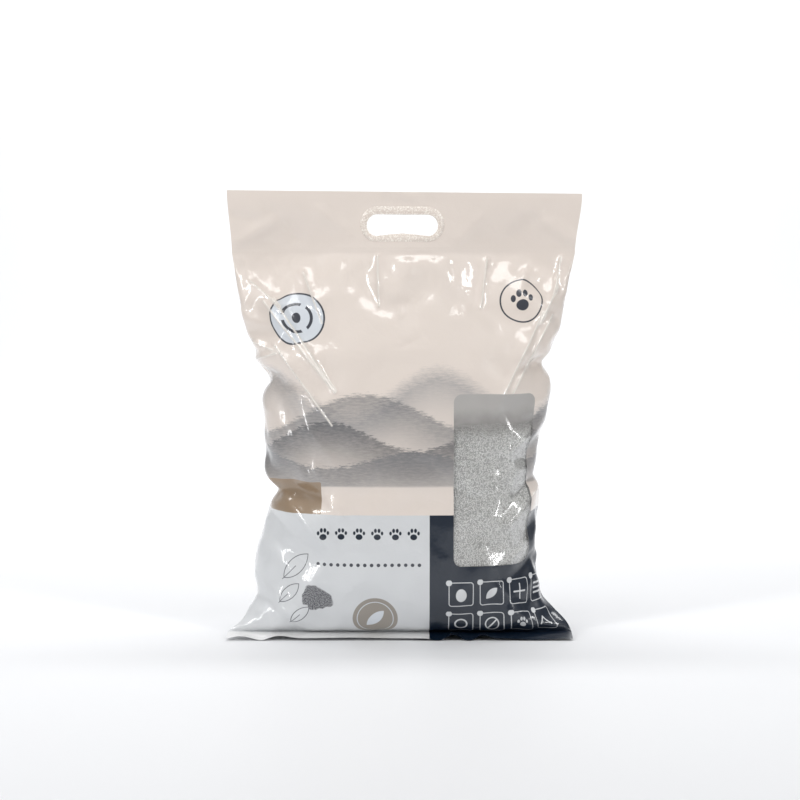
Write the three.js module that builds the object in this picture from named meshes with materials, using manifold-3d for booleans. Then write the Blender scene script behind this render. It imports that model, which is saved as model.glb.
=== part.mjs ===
// A ten-litre bag of clumping cat litter, standing on its end.
// A flat tube of printed film is welded across the bottom and below the header, and it stands on the
// litter inside. The bottom weld lies under the front edge with its fin pushed forward along the
// floor, and the corners of the tube stick out as ears. The header is both plies welded flat, with a
// punched hand hole in a knurled weld. A clear window in the front shows the litter behind it.
// Millimetres, +Z up, the front faces -Y, and the origin is on the floor in the header's middle plane.

import * as THREE from "three";
import { mergeVertices } from "three/addons/utils/BufferGeometryUtils.js";
import Module from "manifold-3d";

const wasm = await Module();
wasm.setup();

// The film
const FILM_WIDTH = 400; // the tube pressed flat, which is the header's width
const FILM_THICKNESS = 0.15; // one ply
const SLACK_WIDTH = 70; // width at each side of a panel where the film is slack and takes itself up
const POUCH_HEIGHT = 428; // floor to the header's weld
const POUCH_DEPTH = 158; // front to back where the litter fills it most
const HEADER_HEIGHT = 69; // welded flat, from the weld to the top edge
const HEADER_SLANT = 4; // the left end of the top edge stands this much higher
const HEADER_WAVE = 10; // how far the slack header swings out of its plane, at its weld
const HEADER_WAVE_FADE = 60; // height over which that wave dies out

// The bottom weld and its fin
const FIN_LENGTH = 24; // from the weld forward to the cut edge
const FIN_WAVE = 2.2; // rise and fall of the cut edge
const FIN_WAVES = 3.5; // along the whole edge
const FIN_EDGE_HEIGHT = 3.2; // mean height of the cut edge above the floor

// The hand hole
const HOLE_WIDTH = 81;
const HOLE_HEIGHT = 25;
const HOLE_SAG = 3; // its lower edge bows up this far in the middle
const HOLE_CENTRE_X = -2.5;
const HOLE_TOP_MARGIN = 25; // from the top edge down to the hole
const WELD_BAND = 7; // width of the knurled weld around the hole
const WELD_RISE = 0.8; // how far it stands off each face

// The clear window, measured on the flat film
const WINDOW_WIDTH = 96;
const WINDOW_HEIGHT = 190;
const WINDOW_LEFT = 54; // from the middle of the front panel to the window's near side
const WINDOW_BOTTOM = 84; // height of its lower edge
const WINDOW_CORNER = 9;

// The litter
const FILL_HEIGHT = 258; // floor to the top of the litter at the sides
const FILL_HEAP = 10; // the middle stands this much higher
const CLEARANCE = 0.3; // between pieces that touch

// How finely the film is divided
const HALF_COLUMNS = 11; // across one half of a panel
const POUCH_ROWS = 42;
const HEADER_ROWS = 7;
const FIN_ROWS = 3;
const SECTION_SHARPNESS = 0.8; // 1 is an ellipse, less is squarer
const HALF_SECTION_STEPS = 32;

// Stations up the pouch, from the bottom weld to the header's weld. Heights are shares of the pouch's
// height, reaches are shares of half the film's width, and outs are shares of half the depth: a
// negative back out means that the back panel is still in front of the middle plane, under the base.
const STATIONS = [
  { side: 0.014, left: 0.99, right: 0.935, frontOut: 0.62, backOut: -0.62, front: 0.014, back: 0.014 },
  { side: 0.042, left: 0.915, right: 0.905, frontOut: 0.79, backOut: -0.33, front: 0.03, back: -0.008 },
  { side: 0.075, left: 0.87, right: 0.83, frontOut: 0.9, backOut: 0.1, front: 0.058, back: -0.014 },
  { side: 0.105, left: 0.835, right: 0.775, frontOut: 0.97, backOut: 0.5, front: 0.096, back: -0.012 },
  { side: 0.163, left: 0.85, right: 0.752, frontOut: 1.03, backOut: 0.83, front: 0.158, back: 0.018 },
  { side: 0.222, left: 0.837, right: 0.745, frontOut: 1.05, backOut: 0.97, front: 0.222, back: 0.1 },
  { side: 0.285, left: 0.796, right: 0.75, frontOut: 1.04, backOut: 1.02, front: 0.285, back: 0.2 },
  { side: 0.341, left: 0.76, right: 0.765, frontOut: 1.02, backOut: 1.03, front: 0.341, back: 0.285 },
  { side: 0.383, left: 0.71, right: 0.757, frontOut: 1.01, backOut: 1.03, front: 0.383, back: 0.345 },
  { side: 0.42, left: 0.775, right: 0.732, frontOut: 1.01, backOut: 1.02, front: 0.42, back: 0.395 },
  { side: 0.479, left: 0.788, right: 0.745, frontOut: 0.99, backOut: 0.99, front: 0.479, back: 0.465 },
  { side: 0.558, left: 0.793, right: 0.79, frontOut: 0.95, backOut: 0.95, front: 0.558, back: 0.552 },
  { side: 0.624, left: 0.79, right: 0.816, frontOut: 0.89, backOut: 0.88, front: 0.624, back: 0.622 },
  { side: 0.67, left: 0.763, right: 0.812, frontOut: 0.83, backOut: 0.82, front: 0.67, back: 0.67 },
  { side: 0.713, left: 0.822, right: 0.775, frontOut: 0.76, backOut: 0.75, front: 0.713, back: 0.713 },
  { side: 0.755, left: 0.85, right: 0.826, frontOut: 0.67, backOut: 0.66, front: 0.755, back: 0.755 },
  { side: 0.829, left: 0.902, right: 0.88, frontOut: 0.47, backOut: 0.46, front: 0.829, back: 0.829 },
  { side: 0.925, left: 0.946, right: 0.923, frontOut: 0.2, backOut: 0.2, front: 0.925, back: 0.925 },
  { side: 1.0, left: 0.974, right: 0.962, frontOut: 0, backOut: 0, front: 1.0, back: 1.0 },
];

// Folds in the film, as seen from the front. Each runs between two points, given as shares of half
// the film's width and of the pouch's height, and the film stands out along it by its rise in
// millimetres, over its spread. A negative rise is a crease pressed in.
const FRONT_FOLDS = [
  { from: [-0.91, 1.0], to: [-0.42, 0.575], rise: 5, spread: 14 },
  { from: [0.92, 0.98], to: [0.46, 0.58], rise: 5, spread: 14 },
  { from: [-0.86, 0.467], to: [-0.38, 0.35], rise: -7, spread: 14 },
  { from: [-0.88, 0.682], to: [-0.52, 0.645], rise: -5, spread: 13 },
  { from: [0.89, 0.729], to: [0.56, 0.682], rise: -5, spread: 13 },
  { from: [0.88, 0.444], to: [0.48, 0.355], rise: -4, spread: 13 },
  { from: [-0.3, 0.99], to: [-0.17, 0.855], rise: -3, spread: 12 },
  { from: [0.35, 0.99], to: [0.43, 0.87], rise: -3, spread: 12 },
  { from: [-0.74, 0.76], to: [-0.4, 0.46], rise: 4, spread: 12 },
  { from: [-0.8, 0.4], to: [-0.36, 0.235], rise: 5, spread: 12 },
  { from: [-0.82, 0.3], to: [-0.45, 0.17], rise: -4, spread: 12 },
  { from: [0.85, 0.8], to: [0.58, 0.6], rise: 4, spread: 12 },
  { from: [0.84, 0.55], to: [0.6, 0.5], rise: 4, spread: 12 },
  { from: [0.82, 0.36], to: [0.5, 0.27], rise: 4, spread: 12 },
  { from: [0.8, 0.22], to: [0.5, 0.14], rise: -4, spread: 12 },
  { from: [-0.55, 0.99], to: [-0.44, 0.84], rise: 4, spread: 12 },
  { from: [-0.06, 0.99], to: [-0.03, 0.86], rise: 3, spread: 12 },
  { from: [0.15, 0.99], to: [0.14, 0.86], rise: -3, spread: 12 },
  { from: [0.66, 0.99], to: [0.58, 0.84], rise: 3, spread: 12 },
  { from: [-0.6, 0.04], to: [-0.46, 0.2], rise: 3, spread: 12 },
  { from: [0.62, 0.04], to: [0.5, 0.17], rise: 3, spread: 12 },
];
const BACK_FOLDS = [
  { from: [-0.9, 0.98], to: [-0.42, 0.6], rise: 5, spread: 14 },
  { from: [0.91, 0.99], to: [0.45, 0.56], rise: 5, spread: 14 },
  { from: [-0.84, 0.69], to: [-0.46, 0.62], rise: -5, spread: 13 },
  { from: [0.86, 0.7], to: [0.5, 0.66], rise: -5, spread: 13 },
  { from: [-0.84, 0.44], to: [-0.42, 0.37], rise: -5, spread: 13 },
  { from: [0.84, 0.42], to: [0.46, 0.34], rise: -4, spread: 13 },
  { from: [-0.74, 0.55], to: [-0.44, 0.5], rise: 4, spread: 12 },
  { from: [0.76, 0.56], to: [0.46, 0.52], rise: 4, spread: 12 },
  { from: [-0.35, 0.99], to: [-0.28, 0.82], rise: -4, spread: 12 },
  { from: [0.05, 0.99], to: [0.03, 0.85], rise: 4, spread: 12 },
  { from: [0.42, 0.99], to: [0.36, 0.83], rise: -4, spread: 12 },
  { from: [-0.78, 0.3], to: [-0.5, 0.22], rise: 4, spread: 12 },
  { from: [0.76, 0.28], to: [0.5, 0.2], rise: 4, spread: 12 },
];

const FOLD_START = 0.25; // share of a fold's length over which it rises from the side
const FOLD_END = 0.33; // and over which it dies out
const FOLD_EDGE_GAP = 4; // no fold reaches this close to the middle plane
const FOLD_EDGE_FADE = 30;

const FRONT = -1;
const BACK = 1;

const COLUMNS = 2 * HALF_COLUMNS;
const halfWidth = FILM_WIDTH / 2;
const halfDepth = POUCH_DEPTH / 2;
const tautReach = halfWidth - SLACK_WIDTH;
const bagHeight = POUCH_HEIGHT + HEADER_HEIGHT;
const holeTop = bagHeight - HOLE_TOP_MARGIN;
const holeCentreZ = holeTop - HOLE_HEIGHT / 2;

// A smooth curve through one measure of every station
function stationCurve(across, out, up) {
  return new THREE.CatmullRomCurve3(
    STATIONS.map((s) => new THREE.Vector3(across(s), out(s), up(s) * POUCH_HEIGHT)),
    false,
    "catmullrom",
    0.5,
  );
}

const frontMiddle = stationCurve(() => 0, (s) => FRONT * s.frontOut * halfDepth, (s) => s.front);
const backMiddle = stationCurve(() => 0, (s) => BACK * s.backOut * halfDepth, (s) => s.back);
const leftSide = stationCurve((s) => -s.left * halfWidth, () => 0, (s) => s.side);
const rightSide = stationCurve((s) => s.right * halfWidth, () => 0, (s) => s.side);

const smooth = (t) => {
  const x = Math.min(1, Math.max(0, t));
  return x * x * (3 - 2 * x);
};

// How far the slack film around the header's weld swings out of the middle plane
function headerSwing(x, z) {
  const away = Math.abs(z - POUCH_HEIGHT) / HEADER_WAVE_FADE;
  return -HEADER_WAVE * Math.cos((1.5 * Math.PI * x) / halfWidth) * (1 - smooth(away));
}

// How far the folds push a panel out at a point seen from the front
function foldRise(panel, x, z) {
  let rise = 0;
  for (const fold of panel === FRONT ? FRONT_FOLDS : BACK_FOLDS) {
    const [x0, x1] = [fold.from[0] * halfWidth, fold.to[0] * halfWidth];
    const [z0, z1] = [fold.from[1] * POUCH_HEIGHT, fold.to[1] * POUCH_HEIGHT];
    const length = Math.hypot(x1 - x0, z1 - z0);
    const along = ((x - x0) * (x1 - x0) + (z - z0) * (z1 - z0)) / length ** 2;
    const across = ((x - x0) * (z1 - z0) - (z - z0) * (x1 - x0)) / length;
    const ends = smooth(along / FOLD_START + 0.5) * smooth((1 - along) / FOLD_END);
    rise += fold.rise * ends * Math.exp(-((across / fold.spread) ** 2));
  }
  return rise;
}

// How far along the panel from its middle a place on the flat film comes to lie
function drawnIn(flat, reach) {
  const slack = Math.max(0, Math.abs(flat) - tautReach);
  const taken = (reach - tautReach) / SLACK_WIDTH;
  return Math.sign(flat) * (Math.min(Math.abs(flat), tautReach) + slack * taken);
}

// The points of one panel at one level from the left edge to the right, where the columns of the
// flat film come to lie
function sectionPoints(panel, level, columns) {
  const middle = (panel === FRONT ? frontMiddle : backMiddle).getPoint(level);
  const left = leftSide.getPoint(level);
  const right = rightSide.getPoint(level);
  const edgeY = (frontMiddle.getPoint(level).y + backMiddle.getPoint(level).y) / 2;
  const steps = 2 * HALF_SECTION_STEPS;
  const line = [];
  for (let i = 0; i <= steps; i++) {
    const angle = Math.PI * (i / steps - 0.5);
    const reach = Math.abs(Math.sin(angle)) ** SECTION_SHARPNESS;
    const bulge = Math.max(0, Math.cos(angle)) ** SECTION_SHARPNESS;
    const edge = angle < 0 ? left : right;
    const y = edgeY + (middle.y - edgeY) * bulge;
    line.push(new THREE.Vector3(edge.x * reach, y, edge.z + (middle.z - edge.z) * bulge));
  }
  const run = [0];
  for (let i = 1; i < line.length; i++) run.push(run[i - 1] + line[i].distanceTo(line[i - 1]));
  const toMiddle = run[HALF_SECTION_STEPS];
  const whole = run[steps];
  const points = [];
  let k = 1;
  for (let i = 0; i <= columns; i++) {
    const flat = FILM_WIDTH * (i / columns - 0.5);
    const target = toMiddle + drawnIn(flat, flat < 0 ? toMiddle : whole - toMiddle);
    while (k < steps && run[k] < target) k++;
    points.push(line[k - 1].clone().lerp(line[k], (target - run[k - 1]) / (run[k] - run[k - 1])));
  }
  return points;
}

// A point of the pouch's film, with its folds and the header's swing
function dressed(panel, p) {
  const rise = foldRise(panel, p.x, p.z) * smooth((panel * p.y - FOLD_EDGE_GAP) / FOLD_EDGE_FADE);
  return new THREE.Vector3(p.x, p.y + panel * rise + headerSwing(p.x, p.z), p.z);
}

// One panel as rows of points, from the fin's cut edge up to the top edge of the header
function panelRows(panel) {
  const seam = sectionPoints(panel, 0, COLUMNS);
  const rows = [];
  for (let r = FIN_ROWS; r >= 1; r--) {
    const share = r / FIN_ROWS;
    rows.push(
      seam.map((p, i) => {
        const edge = FIN_EDGE_HEIGHT + FIN_WAVE * Math.sin(2 * Math.PI * FIN_WAVES * (i / COLUMNS));
        return new THREE.Vector3(p.x, p.y - FIN_LENGTH * share, p.z + (edge - p.z) * smooth(share));
      }),
    );
  }
  for (let r = 0; r <= POUCH_ROWS; r++) {
    rows.push(sectionPoints(panel, r / POUCH_ROWS, COLUMNS).map((p) => dressed(panel, p)));
  }
  const weld = sectionPoints(panel, 1, COLUMNS);
  for (let r = 1; r <= HEADER_ROWS; r++) {
    const share = r / HEADER_ROWS;
    rows.push(
      weld.map((p, i) => {
        const u = (2 * i) / COLUMNS - 1;
        const x = p.x + (u * halfWidth - p.x) * smooth(share);
        const z = POUCH_HEIGHT + HEADER_HEIGHT * share - (HEADER_SLANT / 2) * u * share;
        return new THREE.Vector3(x, headerSwing(x, z), z);
      }),
    );
  }
  return rows;
}

// The outward direction at every point of a panel's rows
function panelNormals(panel, rows) {
  return rows.map((row, r) =>
    row.map((_, i) => {
      const up = rows[Math.min(r + 1, rows.length - 1)][i].clone().sub(rows[Math.max(r - 1, 0)][i]);
      const across = row[Math.min(i + 1, COLUMNS)].clone().sub(row[Math.max(i - 1, 0)]);
      return up.cross(across).multiplyScalar(panel === FRONT ? -1 : 1).normalize();
    }),
  );
}

const panels = new Map();
for (const panel of [FRONT, BACK]) {
  const rows = panelRows(panel);
  panels.set(panel, { rows, normals: panelNormals(panel, rows) });
}

const INSIDE_HAIR = 0.01; // keeps the two plies apart where the inside closes to nothing
const EDGE_INSET = 5; // the inside's sharp side edges draw in this many times further

// A panel's point moved off the inner face of the film by a distance, and kept above the floor
function offPoint(panel, r, i, distance) {
  const { rows, normals } = panels.get(panel);
  const p = rows[r][i].clone().addScaledVector(normals[r][i], distance);
  if (i === 0 || i === COLUMNS) {
    const outward = i === 0 ? -1 : 1;
    p.copy(rows[r][i]);
    p.x += outward * distance * (distance < 0 ? EDGE_INSET : 1);
    p.y += panel * Math.max(distance, INSIDE_HAIR);
  }
  p.z = Math.max(p.z, FILM_THICKNESS - distance);
  return p;
}

// A closed surface as a solid, with its shared points merged
function solidFrom(geometry) {
  const bare = geometry.clone();
  bare.deleteAttribute("normal");
  bare.deleteAttribute("uv");
  const merged = mergeVertices(bare, 1e-5);
  const vertProperties = new Float32Array(merged.attributes.position.array);
  const triangles = [];
  for (let i = 0; i < merged.index.count; i += 3) {
    const [a, b, c] = [0, 1, 2].map((k) => merged.index.getX(i + k));
    if (a !== b && b !== c && c !== a) triangles.push(a, b, c);
  }
  return new wasm.Manifold(
    new wasm.Mesh({ numProp: 3, vertProperties, triVerts: new Uint32Array(triangles) }),
  );
}

// A closed body through rings of points, with each end closed across from its first half to its last
function loftSolid(rings) {
  const count = rings[0].length;
  const index = [];
  for (let r = 0; r < rings.length - 1; r++) {
    for (let i = 0; i < count; i++) {
      const [a, b] = [r * count + i, r * count + ((i + 1) % count)];
      index.push(a, b, b + count, a, b + count, a + count);
    }
  }
  for (const [r, turned] of [[0, true], [rings.length - 1, false]]) {
    for (let i = 0; i < Math.floor(count / 2); i++) {
      const ring = [i, i + 1, count - 2 - i, count - 1 - i].map((k) => r * count + ((k + count) % count));
      const quad = turned ? [ring[0], ring[3], ring[2], ring[1]] : ring;
      index.push(quad[0], quad[1], quad[2], quad[0], quad[2], quad[3]);
    }
  }
  const geometry = new THREE.BufferGeometry().setFromPoints(rings.flat());
  geometry.setIndex(index);
  return solidFrom(geometry);
}

// The ring of film at one row: along the front from left to right and back along the rear
function ringAt(r, distance) {
  const ring = [];
  for (let i = 0; i <= COLUMNS; i++) ring.push(offPoint(FRONT, r, i, distance));
  for (let i = COLUMNS; i >= 0; i--) ring.push(offPoint(BACK, r, i, distance));
  return ring;
}

const seamRow = FIN_ROWS;
const weldRow = FIN_ROWS + POUCH_ROWS;
const topRow = weldRow + HEADER_ROWS;
const WELD_ROWS = 1; // rows of solid weld left at each end of the pouch

function rowsBetween(first, last, distance) {
  const rings = [];
  for (let r = first; r <= last; r++) rings.push(ringAt(r, distance));
  return rings;
}

function insideSolid(distance, endRows) {
  return loftSolid(rowsBetween(seamRow + endRows, weldRow - endRows, -distance - INSIDE_HAIR));
}

// The outline of the hand hole, widened by a margin, as seen from the front
function holeOutline(margin) {
  const halfW = HOLE_WIDTH / 2 + margin;
  const halfH = HOLE_HEIGHT / 2 + margin;
  const shape = new THREE.Shape();
  const straight = halfW - halfH;
  shape.moveTo(straight, -halfH);
  shape.absarc(straight, 0, halfH, -Math.PI / 2, Math.PI / 2, false);
  shape.lineTo(-straight, halfH);
  shape.absarc(-straight, 0, halfH, Math.PI / 2, (3 * Math.PI) / 2, false);
  shape.bezierCurveTo(
    -straight / 3, -halfH + HOLE_SAG * (4 / 3),
    straight / 3, -halfH + HOLE_SAG * (4 / 3),
    straight, -halfH,
  );
  return shape;
}

const HOLE_SEGMENTS = 10;
const PUNCH_REACH = 60; // half the length of the punch that cuts the hole
const PUNCHED_OFF = 1; // the weld is made this much into the hole, and punched off with it

// The straight punch that cuts the hand hole through everything
function holePunch() {
  const geometry = new THREE.ExtrudeGeometry(holeOutline(0), {
    depth: 2 * PUNCH_REACH,
    steps: 1,
    bevelEnabled: false,
    curveSegments: HOLE_SEGMENTS,
  });
  geometry.rotateX(Math.PI / 2);
  geometry.translate(HOLE_CENTRE_X, PUNCH_REACH, holeCentreZ);
  return solidFrom(geometry);
}

// The knurled weld around the hole: a flat ring with soft shoulders that follows the header's swing
function weldBand() {
  const shoulder = FILM_THICKNESS + WELD_RISE;
  const section = [
    [-PUNCHED_OFF, -shoulder],
    [WELD_BAND - WELD_RISE, -shoulder],
    [WELD_BAND, -FILM_THICKNESS / 2],
    [WELD_BAND, FILM_THICKNESS / 2],
    [WELD_BAND - WELD_RISE, shoulder],
    [-PUNCHED_OFF, shoulder],
  ];
  const loops = section.map(([margin, out]) =>
    holeOutline(margin)
      .getPoints(HOLE_SEGMENTS)
      .slice(0, -1)
      .map((p) => {
        const [x, z] = [p.x + HOLE_CENTRE_X, p.y + holeCentreZ];
        return new THREE.Vector3(x, headerSwing(x, z) + out, z);
      }),
  );
  const around = loops[0].length;
  const index = [];
  for (let s = 0; s < section.length; s++) {
    const next = (s + 1) % section.length;
    for (let i = 0; i < around; i++) {
      const [a, b] = [s * around + i, s * around + ((i + 1) % around)];
      const [c, d] = [next * around + i, next * around + ((i + 1) % around)];
      index.push(a, d, b, a, c, d);
    }
  }
  const geometry = new THREE.BufferGeometry().setFromPoints(loops.flat());
  geometry.setIndex(index);
  return solidFrom(geometry);
}

// The row, column and share between them of a place on the flat front panel
function frontPoint(across, height, distance) {
  const column = ((across / halfWidth + 1) / 2) * COLUMNS;
  const heights = panels.get(FRONT).rows.map((row) => row[HALF_COLUMNS].z);
  let r = seamRow;
  while (r < weldRow - 1 && heights[r + 1] < height) r++;
  const up = (height - heights[r]) / (heights[r + 1] - heights[r]);
  const i = Math.min(COLUMNS - 1, Math.floor(column));
  const between = (row) =>
    offPoint(FRONT, row, i, distance).lerp(offPoint(FRONT, row, i + 1, distance), column - i);
  return between(r).lerp(between(r + 1), up);
}

const WINDOW_COLUMNS = 8;
const WINDOW_ROWS = 18;
const CORNER_ROWS = 4;
const CUTTER_REACH = 3; // how far the window's cutter stands off the film on each side

// A body that follows the front panel over the window's rounded outline, inset all round
function windowCutter(inset) {
  const halfW = WINDOW_WIDTH / 2 - inset;
  const halfH = WINDOW_HEIGHT / 2 - inset;
  const corner = WINDOW_CORNER - inset;
  const middle = WINDOW_LEFT + WINDOW_WIDTH / 2;
  const straight = halfH - corner;
  const levels = [];
  for (let k = 0; k <= CORNER_ROWS; k++) {
    levels.push(straight + corner * Math.sin((Math.PI / 2) * (k / CORNER_ROWS)));
  }
  for (let k = 1; k < WINDOW_ROWS / 2; k++) levels.unshift(straight * (1 - (2 * k) / WINDOW_ROWS));
  const below = levels.map((level) => -level).reverse();
  const rings = [...below, 0, ...levels].map((level) => {
    const into = Math.max(0, Math.abs(level) - straight);
    const reach = halfW - corner + Math.sqrt(Math.max(0, corner ** 2 - into ** 2));
    const height = WINDOW_BOTTOM + WINDOW_HEIGHT / 2 + level;
    const place = (k, distance) =>
      frontPoint(middle + reach * ((2 * k) / WINDOW_COLUMNS - 1), height, distance);
    const ring = [];
    for (let k = 0; k <= WINDOW_COLUMNS; k++) ring.push(place(k, CUTTER_REACH));
    for (let k = WINDOW_COLUMNS; k >= 0; k--) ring.push(place(k, -CUTTER_REACH));
    return ring;
  });
  return loftSolid(rings);
}

// Everything below the top of the litter: a slab with a low heap along the middle
function fillVolume() {
  const reach = FILM_WIDTH;
  const top = new THREE.Shape();
  top.moveTo(-reach, -1);
  top.lineTo(reach, -1);
  top.lineTo(reach, FILL_HEIGHT);
  top.lineTo(halfWidth, FILL_HEIGHT);
  top.quadraticCurveTo(0, FILL_HEIGHT + 2 * FILL_HEAP, -halfWidth, FILL_HEIGHT);
  top.lineTo(-reach, FILL_HEIGHT);
  top.closePath();
  const geometry = new THREE.ExtrudeGeometry(top, {
    depth: 2 * POUCH_DEPTH,
    steps: 1,
    bevelEnabled: false,
    curveSegments: 8,
  });
  geometry.rotateX(Math.PI / 2);
  geometry.translate(0, POUCH_DEPTH, 0);
  return solidFrom(geometry);
}

const outside = loftSolid(rowsBetween(0, topRow, FILM_THICKNESS));
const wholeFilm = outside
  .add(weldBand())
  .subtract(holePunch())
  .subtract(insideSolid(0, WELD_ROWS));

function buildFilmBag() {
  return wholeFilm.subtract(windowCutter(0));
}

function buildClearWindow() {
  return wholeFilm.intersect(windowCutter(CLEARANCE));
}

function buildLitter() {
  return insideSolid(CLEARANCE, WELD_ROWS + 1).intersect(fillVolume());
}

// A solid as a mesh of its own, named and coloured
function namedMesh(name, solid, look) {
  const { vertProperties, triVerts } = solid.getMesh();
  const geometry = new THREE.BufferGeometry();
  geometry.setAttribute("position", new THREE.BufferAttribute(new Float32Array(vertProperties), 3));
  geometry.setIndex(new THREE.BufferAttribute(new Uint32Array(triVerts), 1));
  geometry.computeVertexNormals();
  const mesh = new THREE.Mesh(geometry, new THREE.MeshStandardMaterial(look));
  mesh.name = name;
  return mesh;
}

const bag = new THREE.Group();
bag.name = "cat_litter_bag";
bag.add(
  namedMesh("film_bag", buildFilmBag(), { color: 0xe2d6cd, roughness: 0.25, metalness: 0 }),
  namedMesh("clear_window", buildClearWindow(), {
    color: 0xeef2f2,
    roughness: 0.08,
    metalness: 0,
    transparent: true,
    opacity: 0.25,
  }),
  namedMesh("litter", buildLitter(), { color: 0xa9aaa6, roughness: 0.95, metalness: 0 }),
);

export default bag;
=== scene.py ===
"""A ten-litre bag of clumping cat litter, standing on a pale floor under soft studio light.

The bag is one flat tube of glossy printed film, welded at the bottom and below its header. Its film is
worked out here as two plies of one sheet with their places on the flat film, creased and wrinkled with
Cloth, and dressed with a print that is drawn in flat film coordinates. Metres throughout.
"""

import logging
import math
from collections.abc import Callable, Iterable, Sequence
from dataclasses import dataclass, field
from enum import Enum
from functools import reduce

import bpy
import numpy as np
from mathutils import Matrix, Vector


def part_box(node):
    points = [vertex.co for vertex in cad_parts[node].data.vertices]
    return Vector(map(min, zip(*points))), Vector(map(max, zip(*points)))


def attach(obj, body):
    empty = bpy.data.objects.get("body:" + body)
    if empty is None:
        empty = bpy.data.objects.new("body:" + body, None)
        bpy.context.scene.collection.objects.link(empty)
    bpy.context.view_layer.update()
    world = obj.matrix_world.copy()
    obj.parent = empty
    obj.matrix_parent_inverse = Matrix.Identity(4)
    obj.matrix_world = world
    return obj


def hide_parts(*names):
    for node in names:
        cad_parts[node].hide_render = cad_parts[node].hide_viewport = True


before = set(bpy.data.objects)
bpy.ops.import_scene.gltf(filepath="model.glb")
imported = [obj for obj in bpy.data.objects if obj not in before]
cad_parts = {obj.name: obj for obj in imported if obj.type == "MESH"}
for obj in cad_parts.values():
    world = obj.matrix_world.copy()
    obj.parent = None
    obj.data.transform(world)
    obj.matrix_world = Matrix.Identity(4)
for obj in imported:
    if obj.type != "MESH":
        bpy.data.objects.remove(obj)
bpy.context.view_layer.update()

MM = 0.001
PRINT_MAP = "print"
SHARP_EDGE = math.radians(58)
LOG = logging.getLogger("litter_bag")


class Ply(Enum):
    """The two plies of the flat tube."""

    FRONT = -1
    BACK = 1


def smooth(share: np.ndarray | float) -> np.ndarray:
    """Ease from 0 to 1."""
    x = np.clip(share, 0.0, 1.0)
    return x * x * (3 - 2 * x)


def catmull_rom(points: np.ndarray, shares: np.ndarray) -> np.ndarray:
    """Places on a smooth open curve through evenly numbered points.

    Args:
        points: the curve's points, one row each.
        shares: how far along the curve each wanted place is, from 0 to 1.

    Returns:
        One row for each share.
    """
    ends = np.vstack([2 * points[0] - points[1], points, 2 * points[-1] - points[-2]])
    run = np.clip(shares, 0, 1) * (len(points) - 1)
    k = np.minimum(run.astype(int), len(points) - 2)
    w = (run - k)[:, None]
    before, start, end, after = ends[k], ends[k + 1], ends[k + 2], ends[k + 3]
    leave, arrive = (end - before) / 2, (after - start) / 2
    return (
        (2 * w**3 - 3 * w**2 + 1) * start
        + (w**3 - 2 * w**2 + w) * leave
        + (3 * w**2 - 2 * w**3) * end
        + (w**3 - w**2) * arrive
    )


def run_along(line: np.ndarray) -> np.ndarray:
    """How far along a line of points each one is."""
    return np.concatenate([[0.0], np.cumsum(np.linalg.norm(np.diff(line, axis=0), axis=1))])


def between(limits: tuple[float, float], share: float) -> float:
    """The value at a share of the way between two limits."""
    return limits[0] + (limits[1] - limits[0]) * share


def new_object(name: str, data: bpy.types.ID) -> bpy.types.Object:
    """A new object, linked to the scene."""
    piece = bpy.data.objects.new(name, data)
    bpy.context.scene.collection.objects.link(piece)
    return piece


@dataclass(frozen=True)
class Station:
    """The pouch at one height: heights are shares of its own, reaches and outs of the half sizes."""

    side: float
    left: float
    right: float
    front_out: float
    back_out: float
    front: float
    back: float


@dataclass(frozen=True)
class Fold:
    """A fold of the front seen from the front, in shares of the half width and the pouch's height.

    The film stands out along it by rise. It is a soft swell, or where it is sharp a pinched ridge.
    """

    start: tuple[float, float]
    end: tuple[float, float]
    rise: float
    spread: float
    sharp: bool = False


def pouch_stations() -> list[Station]:
    """Stations up the pouch, from the bottom weld to the header's weld."""
    rows = [
        (0.014, 0.990, 0.935, 0.62, -0.62, 0.014, 0.014),
        (0.042, 0.915, 0.905, 0.79, -0.33, 0.030, -0.008),
        (0.075, 0.870, 0.830, 0.90, 0.10, 0.058, -0.014),
        (0.105, 0.835, 0.775, 0.97, 0.50, 0.096, -0.012),
        (0.163, 0.850, 0.752, 1.03, 0.83, 0.158, 0.018),
        (0.222, 0.837, 0.745, 1.05, 0.97, 0.222, 0.100),
        (0.285, 0.796, 0.750, 1.04, 1.02, 0.285, 0.200),
        (0.341, 0.760, 0.765, 1.02, 1.03, 0.341, 0.285),
        (0.383, 0.710, 0.757, 1.01, 1.03, 0.383, 0.345),
        (0.420, 0.775, 0.732, 1.01, 1.02, 0.420, 0.395),
        (0.479, 0.788, 0.745, 0.99, 0.99, 0.479, 0.465),
        (0.558, 0.793, 0.790, 0.95, 0.95, 0.558, 0.552),
        (0.624, 0.790, 0.816, 0.89, 0.88, 0.624, 0.622),
        (0.670, 0.763, 0.812, 0.83, 0.82, 0.670, 0.670),
        (0.713, 0.822, 0.775, 0.76, 0.75, 0.713, 0.713),
        (0.755, 0.850, 0.826, 0.67, 0.66, 0.755, 0.755),
        (0.829, 0.902, 0.880, 0.47, 0.46, 0.829, 0.829),
        (0.925, 0.946, 0.923, 0.20, 0.20, 0.925, 0.925),
        (1.000, 0.974, 0.962, 0.00, 0.00, 1.000, 1.000),
    ]
    return [Station(*row) for row in rows]


def folds(rows: Iterable[Sequence[float]], sharp: bool = False) -> list[Fold]:
    """Folds from rows of their starts, their ends, and their rises and spreads in millimetres."""
    return [Fold(row[:2], row[2:4], row[4] * MM, row[5] * MM, sharp) for row in rows]


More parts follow.
